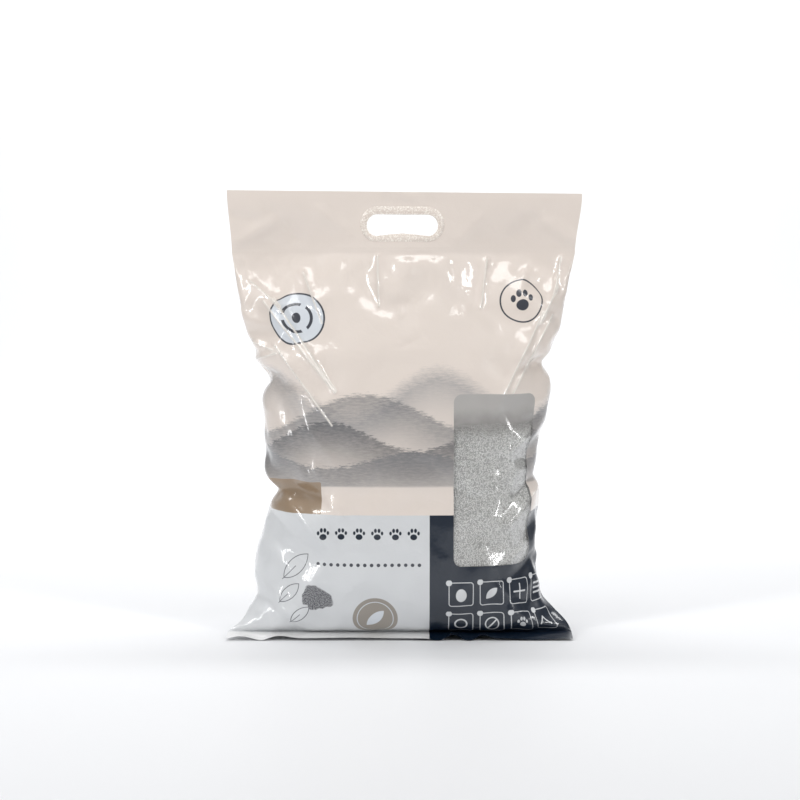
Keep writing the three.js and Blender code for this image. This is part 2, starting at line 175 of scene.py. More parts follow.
def broad_folds() -> dict[Ply, list[Fold]]:
    """The swells and creases that the film's slack lays down before it is wrinkled."""
    front = [
        (-0.91, 1, -0.42, 0.575, 5, 14), (0.92, 0.98, 0.46, 0.58, 5, 14),
        (-0.86, 0.467, -0.38, 0.35, -7, 14), (-0.88, 0.682, -0.52, 0.645, -5, 13),
        (0.89, 0.729, 0.56, 0.682, -5, 13), (0.88, 0.444, 0.48, 0.355, -4, 13),
        (-0.3, 0.99, -0.17, 0.855, -3, 12), (0.35, 0.99, 0.43, 0.87, -3, 12),
        (-0.74, 0.76, -0.4, 0.46, 4, 12), (-0.8, 0.4, -0.36, 0.235, 5, 12),
        (-0.82, 0.3, -0.45, 0.17, -4, 12), (0.85, 0.8, 0.58, 0.6, 4, 12),
        (0.84, 0.55, 0.6, 0.5, 4, 12), (0.82, 0.36, 0.5, 0.27, 4, 12),
        (0.8, 0.22, 0.5, 0.14, -4, 12), (-0.55, 0.99, -0.44, 0.84, 4, 12),
        (-0.06, 0.99, -0.03, 0.86, 3, 12), (0.15, 0.99, 0.14, 0.86, -3, 12),
        (0.66, 0.99, 0.58, 0.84, 3, 12), (-0.6, 0.04, -0.46, 0.2, 3, 12),
        (0.62, 0.04, 0.5, 0.17, 3, 12),
    ]
    back = [
        (-0.9, 0.98, -0.42, 0.6, 5, 14), (0.91, 0.99, 0.45, 0.56, 5, 14),
        (-0.84, 0.69, -0.46, 0.62, -5, 13), (0.86, 0.7, 0.5, 0.66, -5, 13),
        (-0.84, 0.44, -0.42, 0.37, -5, 13), (0.84, 0.42, 0.46, 0.34, -4, 13),
        (-0.74, 0.55, -0.44, 0.5, 4, 12), (0.76, 0.56, 0.46, 0.52, 4, 12),
        (-0.35, 0.99, -0.28, 0.82, -4, 12), (0.05, 0.99, 0.03, 0.85, 4, 12),
        (0.42, 0.99, 0.36, 0.83, -4, 12), (-0.78, 0.3, -0.5, 0.22, 4, 12),
        (0.76, 0.28, 0.5, 0.2, 4, 12),
    ]
    return {Ply.FRONT: folds(front), Ply.BACK: folds(back)}


def fin_waves() -> list[tuple[float, float, float]]:
    """The waves in the fin's cut edge."""
    rows = [
        (-184, 11, 2.6), (-160, 8, -2.4), (-138, 14, 2.8), (-60, 40, 0.9), (37, 9, -2.4),
        (54, 8, 4.6), (71, 8, -2.4), (87, 8, 3.8), (150, 25, -1.6),
    ]
    return [(middle * MM, width * MM, rise * MM) for middle, width, rise in rows]


@dataclass
class BagForm:
    """The form of the bag's film before it is wrinkled, ply by ply.

    Places on the film are given as a flat place across, from the middle of a ply, and a flat height
    above the bottom weld, which is negative on the fin.
    """

    film_width: float
    pouch_height: float
    film_thickness: float = 0.15 * MM
    slack_width: float = 70 * MM
    pouch_depth: float = 158 * MM
    header_height: float = 69 * MM
    header_slant: float = 4 * MM
    header_wave: float = 10 * MM
    header_wave_fade: float = 60 * MM
    fin_length: float = 24 * MM
    fin_edge_height: float = 2.8 * MM
    fin_least_height: float = 0.4 * MM
    fin_waves: list[tuple[float, float, float]] = field(default_factory=fin_waves)
    section_sharpness: float = 0.8
    section_steps: int = 128
    fold_start: float = 0.25
    fold_end: float = 0.33
    fold_edge_gap: float = 4 * MM
    fold_edge_fade: float = 30 * MM
    stations: list[Station] = field(default_factory=pouch_stations)
    folds: dict[Ply, list[Fold]] = field(default_factory=broad_folds)

    @classmethod
    def from_frame(cls) -> "BagForm":
        """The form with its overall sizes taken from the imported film.

        Returns:
            The form of the bag.
        """
        low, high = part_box("film_bag")
        width = high[0] - low[0] - 2 * cls.film_thickness
        pouch = high[2] - cls.header_slant / 2 - cls.header_height
        return cls(film_width=width, pouch_height=pouch)

    @property
    def half_width(self) -> float:
        """Half the width of the flat film."""
        return self.film_width / 2

    @property
    def pouch(self) -> tuple[float, float]:
        """The lengths that the places of folds are shares of."""
        return self.half_width, self.pouch_height

    @property
    def taut_reach(self) -> float:
        """How far to each side of the middle the film lies smooth."""
        return self.half_width - self.slack_width

    def curve(self, measure: Callable[[Station], Sequence[float]], levels: np.ndarray) -> np.ndarray:
        """A smooth curve through one set of measures of every station."""
        return catmull_rom(np.array([measure(s) for s in self.stations]), levels)

    def middle(self, ply: Ply, levels: np.ndarray) -> np.ndarray:
        """The line up the middle of a ply.

        Args:
            ply: front or back.
            levels: how far up the pouch.

        Returns:
            The y and z of each level.
        """
        depth = ply.value * self.pouch_depth / 2
        if ply is Ply.FRONT:
            return self.curve(lambda s: (depth * s.front_out, s.front * self.pouch_height), levels)
        return self.curve(lambda s: (depth * s.back_out, s.back * self.pouch_height), levels)

    def flat_heights(self, levels: np.ndarray) -> np.ndarray:
        """How much film lies between the bottom weld and each level, up the middle of the front."""
        return run_along(self.middle(Ply.FRONT, levels))

    def header_swing(self, x: np.ndarray, z: np.ndarray) -> np.ndarray:
        """How far the slack film around the header's weld swings out of the middle plane."""
        away = np.abs(z - self.pouch_height) / self.header_wave_fade
        return -self.header_wave * np.cos(1.5 * math.pi * x / self.half_width) * (1 - smooth(away))

    def fold_rise(self, folds: Iterable[Fold], x: np.ndarray, z: np.ndarray) -> np.ndarray:
        """How far folds push the film of the front out.

        Args:
            folds: the folds.
            x: places across the bag.
            z: heights.

        Returns:
            The rise at each place.
        """
        rise = np.zeros_like(x)
        for fold in folds:
            start = np.array(fold.start) * self.pouch
            run = np.array(fold.end) * self.pouch - start
            length = np.hypot(*run)
            along = ((x - start[0]) * run[0] + (z - start[1]) * run[1]) / length**2
            across = ((x - start[0]) * run[1] - (z - start[1]) * run[0]) / length
            ends = smooth(along / self.fold_start + 0.5) * smooth((1 - along) / self.fold_end)
            away = np.abs(across / fold.spread) if fold.sharp else (across / fold.spread) ** 2
            rise += fold.rise * ends * np.exp(-away)
        return rise

    def sections(self, ply: Ply, levels: np.ndarray, flats: np.ndarray) -> np.ndarray:
        """Points of a ply's pouch where columns of the flat film come to lie.

        Args:
            ply: front or back.
            levels: how far up the pouch each row is.
            flats: the columns' flat places across.

        Returns:
            Points by row and column.
        """
        angles = np.linspace(-math.pi / 2, math.pi / 2, self.section_steps + 1)
        reach = np.abs(np.sin(angles)) ** self.section_sharpness
        bulge = np.clip(np.cos(angles), 0, None) ** self.section_sharpness
        half, pouch = self.half_width, self.pouch_height
        left = self.curve(lambda s: (-s.left * half, s.side * pouch), levels)
        right = self.curve(lambda s: (s.right * half, s.side * pouch), levels)
        middle = self.middle(ply, levels)
        edge_y = (self.middle(Ply.FRONT, levels)[:, 0] + self.middle(Ply.BACK, levels)[:, 0]) / 2
        points = np.empty((len(levels), len(flats), 3))
        for r in range(len(levels)):
            edge = np.where((angles < 0)[:, None], left[r], right[r])
            y = edge_y[r] + (middle[r, 0] - edge_y[r]) * bulge
            line = np.column_stack([edge[:, 0] * reach, y, edge[:, 1] + (middle[r, 1] - edge[:, 1]) * bulge])
            run = run_along(line)
            to_middle = run[self.section_steps // 2]
            reaches = np.where(flats < 0, to_middle, run[-1] - to_middle)
            target = to_middle + self.drawn_in(flats, reaches)
            points[r] = np.column_stack([np.interp(target, run, line[:, k]) for k in range(3)])
        return points

    def drawn_in(self, flats: np.ndarray, reaches: np.ndarray) -> np.ndarray:
        """How far along a ply from its middle places of the flat film come to lie.

        Args:
            flats: flat places across.
            reaches: how long the ply's section is on each one's side.

        Returns:
            The places along the section.
        """
        slack = np.clip(np.abs(flats) - self.taut_reach, 0, None)
        taken = (reaches - self.taut_reach) / self.slack_width
        return np.sign(flats) * (np.minimum(np.abs(flats), self.taut_reach) + slack * taken)

    def dressed(self, ply: Ply, points: np.ndarray) -> np.ndarray:
        """Points of the pouch with its broad folds and the header's swing.

        Args:
            ply: front or back.
            points: points by row and column.

        Returns:
            The moved points.
        """
        moved = points.copy()
        x, y, z = points[..., 0], points[..., 1], points[..., 2]
        reach = smooth((ply.value * y - self.fold_edge_gap) / self.fold_edge_fade)
        moved[..., 1] += ply.value * self.fold_rise(self.folds[ply], x, z) * reach
        moved[..., 1] += self.header_swing(x, z)
        return moved

    def fin(self, seam: np.ndarray, shares: np.ndarray, flats: np.ndarray) -> np.ndarray:
        """Points of the fin in front of the bottom weld.

        Args:
            seam: the weld's points by column.
            shares: how far from the weld to the cut edge each row is.
            flats: the columns' flat places across.

        Returns:
            Points by row and column.
        """
        edge = np.full(flats.shape, self.fin_edge_height)
        for middle, width, rise in self.fin_waves:
            edge += rise * np.exp(-(((flats - middle) / width) ** 2))
        edge = np.maximum(edge, self.fin_least_height)
        points = np.repeat(seam[None], len(shares), axis=0)
        points[..., 1] -= self.fin_length * shares[:, None]
        points[..., 2] += (edge[None] - points[..., 2]) * smooth(shares)[:, None]
        return points

    def header(self, weld: np.ndarray, shares: np.ndarray, flats: np.ndarray) -> np.ndarray:
        """Points of the header above its weld.

        Args:
            weld: the weld's points by column, before the swing.
            shares: how far from the weld to the top edge each row is.
            flats: the columns' flat places across.

        Returns:
            Points by row and column.
        """
        share = shares[:, None]
        x = weld[None, :, 0] + (flats[None] - weld[None, :, 0]) * smooth(share)
        slant = self.header_slant / 2 * flats[None] / self.half_width * share
        z = self.pouch_height + self.header_height * share - slant
        return np.stack([x, self.header_swing(x, z), np.broadcast_to(z, x.shape)], axis=-1)


@dataclass
class FilmSheet:
    """One ply as a table of points over the flat film, evenly spaced each way."""

    flats: np.ndarray
    heights: np.ndarray
    points: np.ndarray

    def at(self, flats: np.ndarray, heights: np.ndarray) -> np.ndarray:
        """Points of the ply at any places of the flat film, by a cubic through the table."""
        return self.blend(self.points, flats, heights)

    def blend(self, table: np.ndarray, flats: np.ndarray, heights: np.ndarray) -> np.ndarray:
        """Values of a table at any places of the flat film.

        Args:
            table: values by row and column.
            flats: flat places across.
            heights: flat heights.

        Returns:
            One value for each place.
        """
        rows, columns = table.shape[:2]
        v = (heights - self.heights[0]) / (self.heights[1] - self.heights[0])
        u = (flats - self.flats[0]) / (self.flats[1] - self.flats[0])
        r = np.clip(np.floor(v + 1e-9).astype(int), 0, rows - 2)
        c = np.clip(np.floor(u + 1e-9).astype(int), 0, columns - 2)
        result = 0.0
        for i, row_weight in enumerate(cubic_weights(v - r)):
            ri = np.clip(r + i - 1, 0, rows - 1)
            for k, column_weight in enumerate(cubic_weights(u - c)):
                ck = np.clip(c + k - 1, 0, columns - 1)
                result = result + (row_weight * column_weight)[..., None] * table[ri, ck]
        return result

    def normals(self, ply: Ply) -> np.ndarray:
        """The outward direction at every point of the table.

        Args:
            ply: which ply this is.

        Returns:
            Unit vectors by row and column.
        """
        up = np.gradient(self.points, axis=0)
        across = np.gradient(self.points, axis=1)
        out = np.cross(across, up) * (1 if ply is Ply.FRONT else -1)
        return out / np.maximum(np.linalg.norm(out, axis=-1, keepdims=True), 1e-12)


def cubic_weights(w: np.ndarray) -> list[np.ndarray]:
    """Weights of four neighbours in a row for a place between the middle two."""
    return [
        -0.5 * w**3 + w**2 - 0.5 * w,
        1.5 * w**3 - 2.5 * w**2 + 1,
        -1.5 * w**3 + 2 * w**2 + 0.5 * w,
        0.5 * w**3 - 0.5 * w**2,
    ]


@dataclass
class FilmPair:
    """Both plies of the bag, and where their parts begin on the flat film."""

    form: BagForm
    columns: int = 161
    row_step: float = 2.6 * MM
    front: FilmSheet = field(init=False)
    back: FilmSheet = field(init=False)
    pouch_film: float = field(init=False)

    def __post_init__(self) -> None:
        """Work out both plies as they lie before they are wrinkled."""
        form = self.form
        fine_levels = np.linspace(0, 1, 2001)
        fine_heights = form.flat_heights(fine_levels)
        self.pouch_film = float(fine_heights[-1])
        count = round((self.pouch_film + form.fin_length + form.header_height) / self.row_step)
        heights = np.linspace(-form.fin_length, self.pouch_film + form.header_height, count)
        flats = np.linspace(-form.half_width, form.half_width, self.columns)
        levels = np.interp(heights, fine_heights, fine_levels)
        in_pouch = (heights >= 0) & (heights <= self.pouch_film)
        for ply in Ply:
            points = np.empty((count, self.columns, 3))
            seam, weld = form.sections(ply, np.array([0.0, 1.0]), flats)
            fin_shares = -heights[heights < 0] / form.fin_length
            points[heights < 0] = form.fin(seam, fin_shares, flats)
            points[in_pouch] = form.dressed(ply, form.sections(ply, levels[in_pouch], flats))
            above = heights > self.pouch_film
            header_shares = (heights[above] - self.pouch_film) / form.header_height
            points[above] = form.header(weld, header_shares, flats)
            sheet = FilmSheet(flats, heights, points)
            if ply is Ply.FRONT:
                self.front = sheet
            else:
                self.back = sheet

    def settle(self) -> None:
        """Press the film that hangs below the floor flat onto it."""
        for ply in Ply:
            heights = self.sheet(ply).points[..., 2]
            np.maximum(heights, self.form.film_thickness, out=heights)

    def sheet(self, ply: Ply) -> FilmSheet:
        """The table of one ply."""
        return self.front if ply is Ply.FRONT else self.back

    def out(self, ply: Ply, flats: np.ndarray, heights: np.ndarray) -> np.ndarray:
        """The outward direction at places of a ply."""
        return self.sheet(ply).blend(self.sheet(ply).normals(ply), flats, heights)

    def flat_height(self, z: float) -> float:
        """Where up the middle of the flat front a height of the filled bag lies."""
        rising = self.front.heights >= 0
        line = self.front.points[rising][:, self.columns // 2, 2]
        return float(np.interp(z, line, self.front.heights[rising]))

    def flat_place(self, x: float, z: float) -> tuple[float, float]:
        """Where on the flat front a point of the filled bag lies.

        Args:
            x: its place across, seen from the front.
            z: its height.

        Returns:
            Its flat place across and its flat height.
        """
        points = self.front.points
        miss = (points[..., 0] - x) ** 2 + (points[..., 2] - z) ** 2
        miss[self.front.heights < 0] = np.inf
        r, c = np.unravel_index(np.argmin(miss), miss.shape)
        return float(self.front.flats[c]), float(self.front.heights[r])


@dataclass
class ClothPass:
    """Wrinkles one ply of the pouch, as slack film that is held loosely where it lies.

    Its rest size is the flat film and a little more, so it buckles where the filled form needs less.
    """

    every: int = 2
    frames: int = 22
    slack: float = 0.004
    loose_slack: float = 0.010
    most_slack: float = 0.10
    hold: float = 0.16
    loose_hold: float = 0.07
    bending: float = 14.0
    most_move: float = 8 * MM
    seed_ripple: float = 0.5 * MM
    smoothing: int = 2

    def wrinkle(self, sheet: FilmSheet, ply: Ply, weld: float) -> None:
        """Move the points of a ply's pouch to where the slack film settles.

        Args:
            sheet: the ply's table, changed in place.
            ply: front or back.
            weld: the flat height of the header's weld.
        """
        rows = np.flatnonzero((sheet.heights >= 0) & (sheet.heights <= weld))[:: self.every]
        columns = np.arange(0, len(sheet.flats), self.every)
        coarse = FilmSheet(sheet.flats[columns], sheet.heights[rows], sheet.points[np.ix_(rows, columns)])
        move = blurred(self.settled(coarse, ply, weld) - coarse.points, self.smoothing)
        length = np.linalg.norm(move, axis=-1, keepdims=True)
        move *= self.most_move * np.tanh(length / self.most_move) / np.maximum(length, 1e-9)
        flats, heights = np.meshgrid(sheet.flats, sheet.heights)
        within = (heights >= coarse.heights[0]) & (heights <= coarse.heights[-1])
        sheet.points += coarse.blend(move, flats, heights) * within[..., None]

    def settled(self, sheet: FilmSheet, ply: Ply, weld: float) -> np.ndarray:
        """Run Cloth on a coarse copy of the pouch.

        Args:
            sheet: the copy's table.
            ply: front or back.
            weld: the flat height of the header's weld.

        Returns:
            The settled points by row and column.
        """
        rows, columns = sheet.points.shape[:2]
        inner = edge_mask(rows, columns, 2)
        ripple = np.random.default_rng(11 + ply.value).normal(size=(rows, columns, 1))
        begin = sheet.points.copy()
        begin[..., 1] += self.seed_ripple * 3 * (blurred(ripple, 2)[..., 0] * inner)
        mesh = bpy.data.meshes.new("slack")
        mesh.from_pydata(begin.reshape(-1, 3).tolist(), [], grid_faces(rows, columns))
        piece = new_object("slack", mesh)
        loose = smooth((sheet.heights / weld - 0.55) / 0.25)[:, None] * np.ones((1, columns))
        hold = self.hold + (self.loose_hold - self.hold) * loose
        weigh(piece, "hold", np.where(edge_mask(rows, columns, 1) > 0, hold, 1.0))
        slack = self.spare(sheet) + self.slack + (self.loose_slack - self.slack) * loose
        most = float(slack.max())
        weigh(piece, "taut", 1 - slack / most)
        cloth = piece.modifiers.new("cloth", "CLOTH")
        settings = cloth.settings
        settings.vertex_group_shrink = "taut"
        settings.shrink_min = -most
        settings.shrink_max = 0
        settings.quality = 5
        settings.mass = 0.003
        settings.air_damping = 2
        settings.tension_stiffness = settings.compression_stiffness = 40
        settings.shear_stiffness = 15
        settings.bending_stiffness = self.bending
        settings.tension_damping = settings.compression_damping = settings.shear_damping = 10
        settings.bending_damping = 0.5
        settings.vertex_group_mass = "hold"
        settings.pin_stiffness = 1
        settings.effector_weights.gravity = 0
        cloth.collision_settings.use_collision = False
        for number in range(1, self.frames + 1):
            bpy.context.scene.frame_set(number)
        shown = piece.evaluated_get(bpy.context.evaluated_depsgraph_get())
        places = np.empty(rows * columns * 3, dtype=np.float32)
        shown.data.vertices.foreach_get("co", places)
        bpy.context.scene.frame_set(1)
        bpy.data.objects.remove(piece, do_unlink=True)
        return places.reshape(rows, columns, 3).astype(float)

    def spare(self, sheet: FilmSheet) -> np.ndarray:
        """How much more film there is than the filled form needs, as a share of its length.

        Args:
            sheet: the ply's table.

        Returns:
            The share at each point.
        """
        needed_across = np.linalg.norm(np.gradient(sheet.points, axis=1), axis=-1)
        needed_up = np.linalg.norm(np.gradient(sheet.points, axis=0), axis=-1)
        across = np.gradient(sheet.flats)[None] / needed_across
        up = np.gradient(sheet.heights)[:, None] / needed_up
        return np.clip((across + up) / 2 - 1, 0, self.most_slack)


def blurred(table: np.ndarray, times: int) -> np.ndarray:
    """A table with each value drawn towards its neighbours.

    Args:
        table: values by row and column.
        times: how often.

    Returns:
        The smoother table.
    """
    result = table.copy()
    for _ in range(times):
        for axis in (0, 1):
            edge = [(0, 0)] * result.ndim
            edge[axis] = (1, 1)
            wide = np.pad(result, edge, mode="edge")
            before = np.take(wide, range(result.shape[axis]), axis=axis)
            after = np.take(wide, range(2, result.shape[axis] + 2), axis=axis)
            result = result / 2 + (before + after) / 4
    return result


def weigh(piece: bpy.types.Object, name: str, weights: np.ndarray) -> None:
    """Give a piece a vertex group.

    Args:
        piece: the piece.
        name: the group's name.
        weights: one weight for each vertex, in order.
    """
    group = piece.vertex_groups.new(name=name)
    for index, weight in enumerate(weights.reshape(-1)):
        group.add([index], float(weight), "REPLACE")


def edge_mask(rows: int, columns: int, depth: int) -> np.ndarray:
    """A table that is 0 along its border and 1 inside.

    Args:
        rows: the number of rows.
        columns: the number of columns.
        depth: how many cells deep the border is.

    Returns:
        The mask.
    """
    mask = np.zeros((rows, columns))
    mask[depth : rows - depth, depth : columns - depth] = 1
    return mask


def grid_faces(rows: int, columns: int) -> list[tuple[int, int, int, int]]:
    """Faces of a grid of points numbered row by row."""
    return [
        (r * columns + c, r * columns + c + 1, (r + 1) * columns + c + 1, (r + 1) * columns + c)
        for r in range(rows - 1)
        for c in range(columns - 1)
    ]


def header_dents() -> list[Fold]:
    """The soft dents in the header, both plies together."""
    rows = [
        (-0.97, 1.02, -0.64, 1.11, 2.8, 8), (-0.58, 1.03, -0.8, 1.14, -2.4, 8),
        (-0.5, 1.12, -0.26, 1.04, 1.8, 7), (0.97, 1.025, 0.66, 1.13, 2.8, 8),
        (0.6, 1.04, 0.84, 1.13, -2.4, 8), (0.3, 1.03, 0.48, 1.12, 1.8, 7),
        (-0.12, 1.165, 0.12, 1.14, 1.6, 6), (-0.98, 1.1, -0.8, 1.08, -1.8, 6),
    ]
    return folds(rows)


def sharp_creases() -> list[Fold]:
    """The pinched creases that catch the light on the front."""
    rows = [
        (-0.944, 1, -0.854, 0.923, 2.2, 3.5), (-0.87, 0.928, -0.7, 0.862, 2.6, 3.5),
        (-0.73, 0.88, -0.385, 0.651, 3.4, 4), (-0.79, 0.875, -0.385, 0.645, 3, 4),
        (-0.72, 0.762, -0.4, 0.56, 3, 3.5), (-0.57, 0.95, -0.46, 0.82, 2.4, 4),
        (-0.85, 0.768, -0.74, 0.752, 2.6, 3.5), (-0.85, 0.722, -0.72, 0.742, 2.6, 3.5),
        (-0.86, 0.705, -0.64, 0.67, -3, 5), (-0.57, 0.57, -0.29, 0.405, 2.2, 7),
        (-0.66, 0.64, -0.56, 0.56, 2.2, 3.5), (-0.56, 0.44, -0.28, 0.3, 2.2, 6),
        (-0.8, 0.34, -0.42, 0.2, -2.6, 5), (-0.78, 0.43, -0.36, 0.215, 2.2, 7),
        (0.884, 0.99, 0.85, 0.9, 2.4, 3.5), (0.86, 0.91, 0.76, 0.82, 2.6, 3.5),
        (0.775, 0.845, 0.45, 0.548, 3.6, 3.5), (0.83, 0.84, 0.58, 0.625, 2.6, 3.5),
        (0.77, 0.728, 0.67, 0.708, -3, 4), (0.72, 0.705, 0.64, 0.66, 2, 3),
        (0.6, 0.5, 0.54, 0.44, 2, 3), (0.72, 0.42, 0.5, 0.31, -2.2, 4),
        (0.74, 0.38, 0.52, 0.28, 2.4, 4), (-0.154, 0.992, -0.143, 0.865, 2.4, 3.5),
        (0.02, 0.985, 0.03, 0.93, 2, 3.5), (-0.06, 0.905, 0.004, 0.82, 1.8, 3.5),
        (0.465, 0.985, 0.428, 0.86, 2.8, 3.5), (0.525, 0.935, 0.515, 0.85, 2, 3),
        (0.27, 0.98, 0.29, 0.91, -1.8, 4), (-0.33, 0.985, -0.3, 0.89, -2, 4),
        (0.7, 0.975, 0.64, 0.89, 2, 3.5), (-0.78, 0.985, -0.7, 0.93, 2, 3.5),
    ]
    return folds(rows, sharp=True)


@dataclass
class Creasing:
    """The photographed creases, pressed into the front once it is wrinkled, and many small ones."""

    creases: list[Fold] = field(default_factory=sharp_creases)
    dents: list[Fold] = field(default_factory=header_dents)
    side_fade: float = 0.05
    small_count: int = 150
    small_length: tuple[float, float] = (16 * MM, 60 * MM)
    small_rise: tuple[float, float] = (0.5 * MM, 1.5 * MM)
    small_spread: tuple[float, float] = (3.0 * MM, 5.0 * MM)
    seed: int = 23

    def scatter(self, form: BagForm, sheet: FilmSheet, ply: Ply, weld: float) -> None:
        """Press small creases into a ply, thick near its sides and its top, and few on its belly.

        Args:
            form: the bag's form.
            sheet: the ply, changed in place.
            ply: front or back.
            weld: the flat height of the header's weld.
        """
        dice = np.random.default_rng(self.seed + ply.value)
        flats, heights = np.meshgrid(sheet.flats, sheet.heights)
        rise = np.zeros_like(flats)
        placed = 0
        while placed < self.small_count:
            across, up = dice.uniform(-0.97, 0.97), dice.uniform(0.03, 0.985)
            crowd = 0.10 + 0.9 * max(smooth((abs(across) - 0.35) / 0.4), smooth((up - 0.74) / 0.14))
            length, height, spread, swing = dice.uniform(size=4)
            if dice.uniform() > crowd:
                continue
            placed += 1
            near_top = float(smooth((up - 0.75) / 0.15))
            slope = near_top * math.pi / 2 + (1 - near_top) * math.copysign(0.75, across)
            turn = slope + (swing - 0.5) * (0.7 + 0.8 * (1 - near_top))
            size = between(self.small_length, length**2)
            dx, dy = flats - across * form.half_width, heights - up * weld
            along = (dx * math.cos(turn) + dy * math.sin(turn)) / (size / 2)
            aside = dx * math.sin(turn) - dy * math.cos(turn) + 2.5 * MM * along**2
            width = between(self.small_spread, spread)
            top = between(self.small_rise, height**2)
            sign = 1 if placed % 3 else -1
            rise += sign * top * np.clip(1 - along**2, 0, None) * np.exp(-np.abs(aside) / width)
        ends = smooth(heights / (18 * MM)) * smooth((weld - heights) / (10 * MM))
        sides = smooth((form.half_width - np.abs(flats)) / (10 * MM))
        sheet.points += sheet.normals(ply) * (rise * ends * sides)[..., None]

    def dent(self, pair: FilmPair) -> None:
        """Push both plies of the header out together along its soft dents.

        Args:
            pair: the plies, changed in place.
        """
        for ply in Ply:
            points = pair.sheet(ply).points
            x, z = points[..., 0], points[..., 2]
            reach = smooth((z - pair.form.pouch_height) / (16 * MM))
            points[..., 1] -= pair.form.fold_rise(self.dents, x, z) * reach

    def press(self, form: BagForm, sheet: FilmSheet) -> None:
        """Move the front's points out along the creases.

        Args:
            form: the bag's form.
            sheet: the front, changed in place.
        """
        out = sheet.normals(Ply.FRONT)
        x, z = sheet.points[..., 0], sheet.points[..., 2]
        rise = form.fold_rise(self.creases, x, z)
        side = np.abs(sheet.flats[None]) / form.half_width
        reach = smooth((1 - side) / self.side_fade)
        pouch = smooth((form.pouch_height - z) / (6 * MM)) * smooth(sheet.heights[:, None] / (20 * MM))
        sheet.points += out * (rise * reach * pouch)[..., None]


@dataclass(frozen=True)
class Outline:
    """A rounded box on the flat film."""

    left: float
    right: float
    low: float
    high: float
    corner: float
    sag: float = 0.0

    def distance(self, flats: np.ndarray, heights: np.ndarray) -> np.ndarray:
        """How far places are outside the outline, below 0 inside.

        Args:
            flats: flat places across.
            heights: flat heights.

        Returns:
            The distance of each place.
        """
        middle, half = (self.left + self.right) / 2, (self.right - self.left) / 2
        middle_up, half_up = (self.low + self.high) / 2, (self.high - self.low) / 2
        lift = self.sag * np.clip(1 - ((flats - middle) / (0.75 * half)) ** 2, 0, None)
        lift *= heights < middle_up
        across = np.abs(flats - middle) - (half - self.corner)
        up = np.abs(heights - lift - middle_up) - (half_up - self.corner)
        outside = np.hypot(np.clip(across, 0, None), np.clip(up, 0, None))
        return outside + np.minimum(np.maximum(across, up), 0) - self.corner

    def snapped(self, flats: np.ndarray, heights: np.ndarray) -> tuple[np.ndarray, np.ndarray]:
        """Places moved onto the outline.

        Args:
            flats: flat places across.
            heights: flat heights.

        Returns:
            The flat places across and the flat heights.
        """
        step = 0.01 * MM
        for _ in range(2):
            gap = self.distance(flats, heights)
            left, right = self.distance(flats - step, heights), self.distance(flats + step, heights)
            below, above = self.distance(flats, heights - step), self.distance(flats, heights + step)
            across, up = (right - left) / (2 * step), (above - below) / (2 * step)
            flats, heights = flats - gap * across, heights - gap * up
        return flats, heights

    def loop(self, count: int) -> np.ndarray:
        """Evenly spaced places round the outline, seen turning left from the right side.

        Args:
            count: how many.

        Returns:
            One flat place for each, across and up.
        """
        middle = np.array([(self.left + self.right) / 2, (self.low + self.high) / 2])
        straight = np.array([(self.right - self.left) / 2, (self.high - self.low) / 2]) - self.corner
        turns = np.linspace(0, 2 * math.pi, 720, endpoint=False)
        way = np.column_stack([np.cos(turns), np.sin(turns)])
        line = middle + np.sign(np.round(way, 6)) * straight + way * self.corner
        low_half = line[:, 1] < middle[1]
        reach = 0.75 * (self.right - self.left) / 2
        line[:, 1] += self.sag * np.clip(1 - ((line[:, 0] - middle[0]) / reach) ** 2, 0, None) * low_half
        closed = np.vstack([line, line[:1]])
        run = run_along(closed)
        wanted = np.linspace(0, run[-1], count, endpoint=False)
        return np.column_stack([np.interp(wanted, run, closed[:, k]) for k in range(2)])

    def grown(self, side: float, low: float, high: float) -> "Outline":
        """A larger outline round this one."""
        left, right = self.left - side, self.right + side
        return Outline(left, right, self.low - low, self.high + high, self.corner + side)


def stretch(marks: Sequence[float], step: float) -> np.ndarray:
    """Evenly spaced places that hit each of some marks.

    Args:
        marks: the marks in rising order.
        step: about how far apart the places are.

    Returns:
        The places.
    """
    places = [np.array([marks[0]])]
    for start, end in zip(marks, marks[1:]):
        places.append(np.linspace(start, end, max(1, round((end - start) / step)) + 1)[1:])
    return np.concatenate(places)


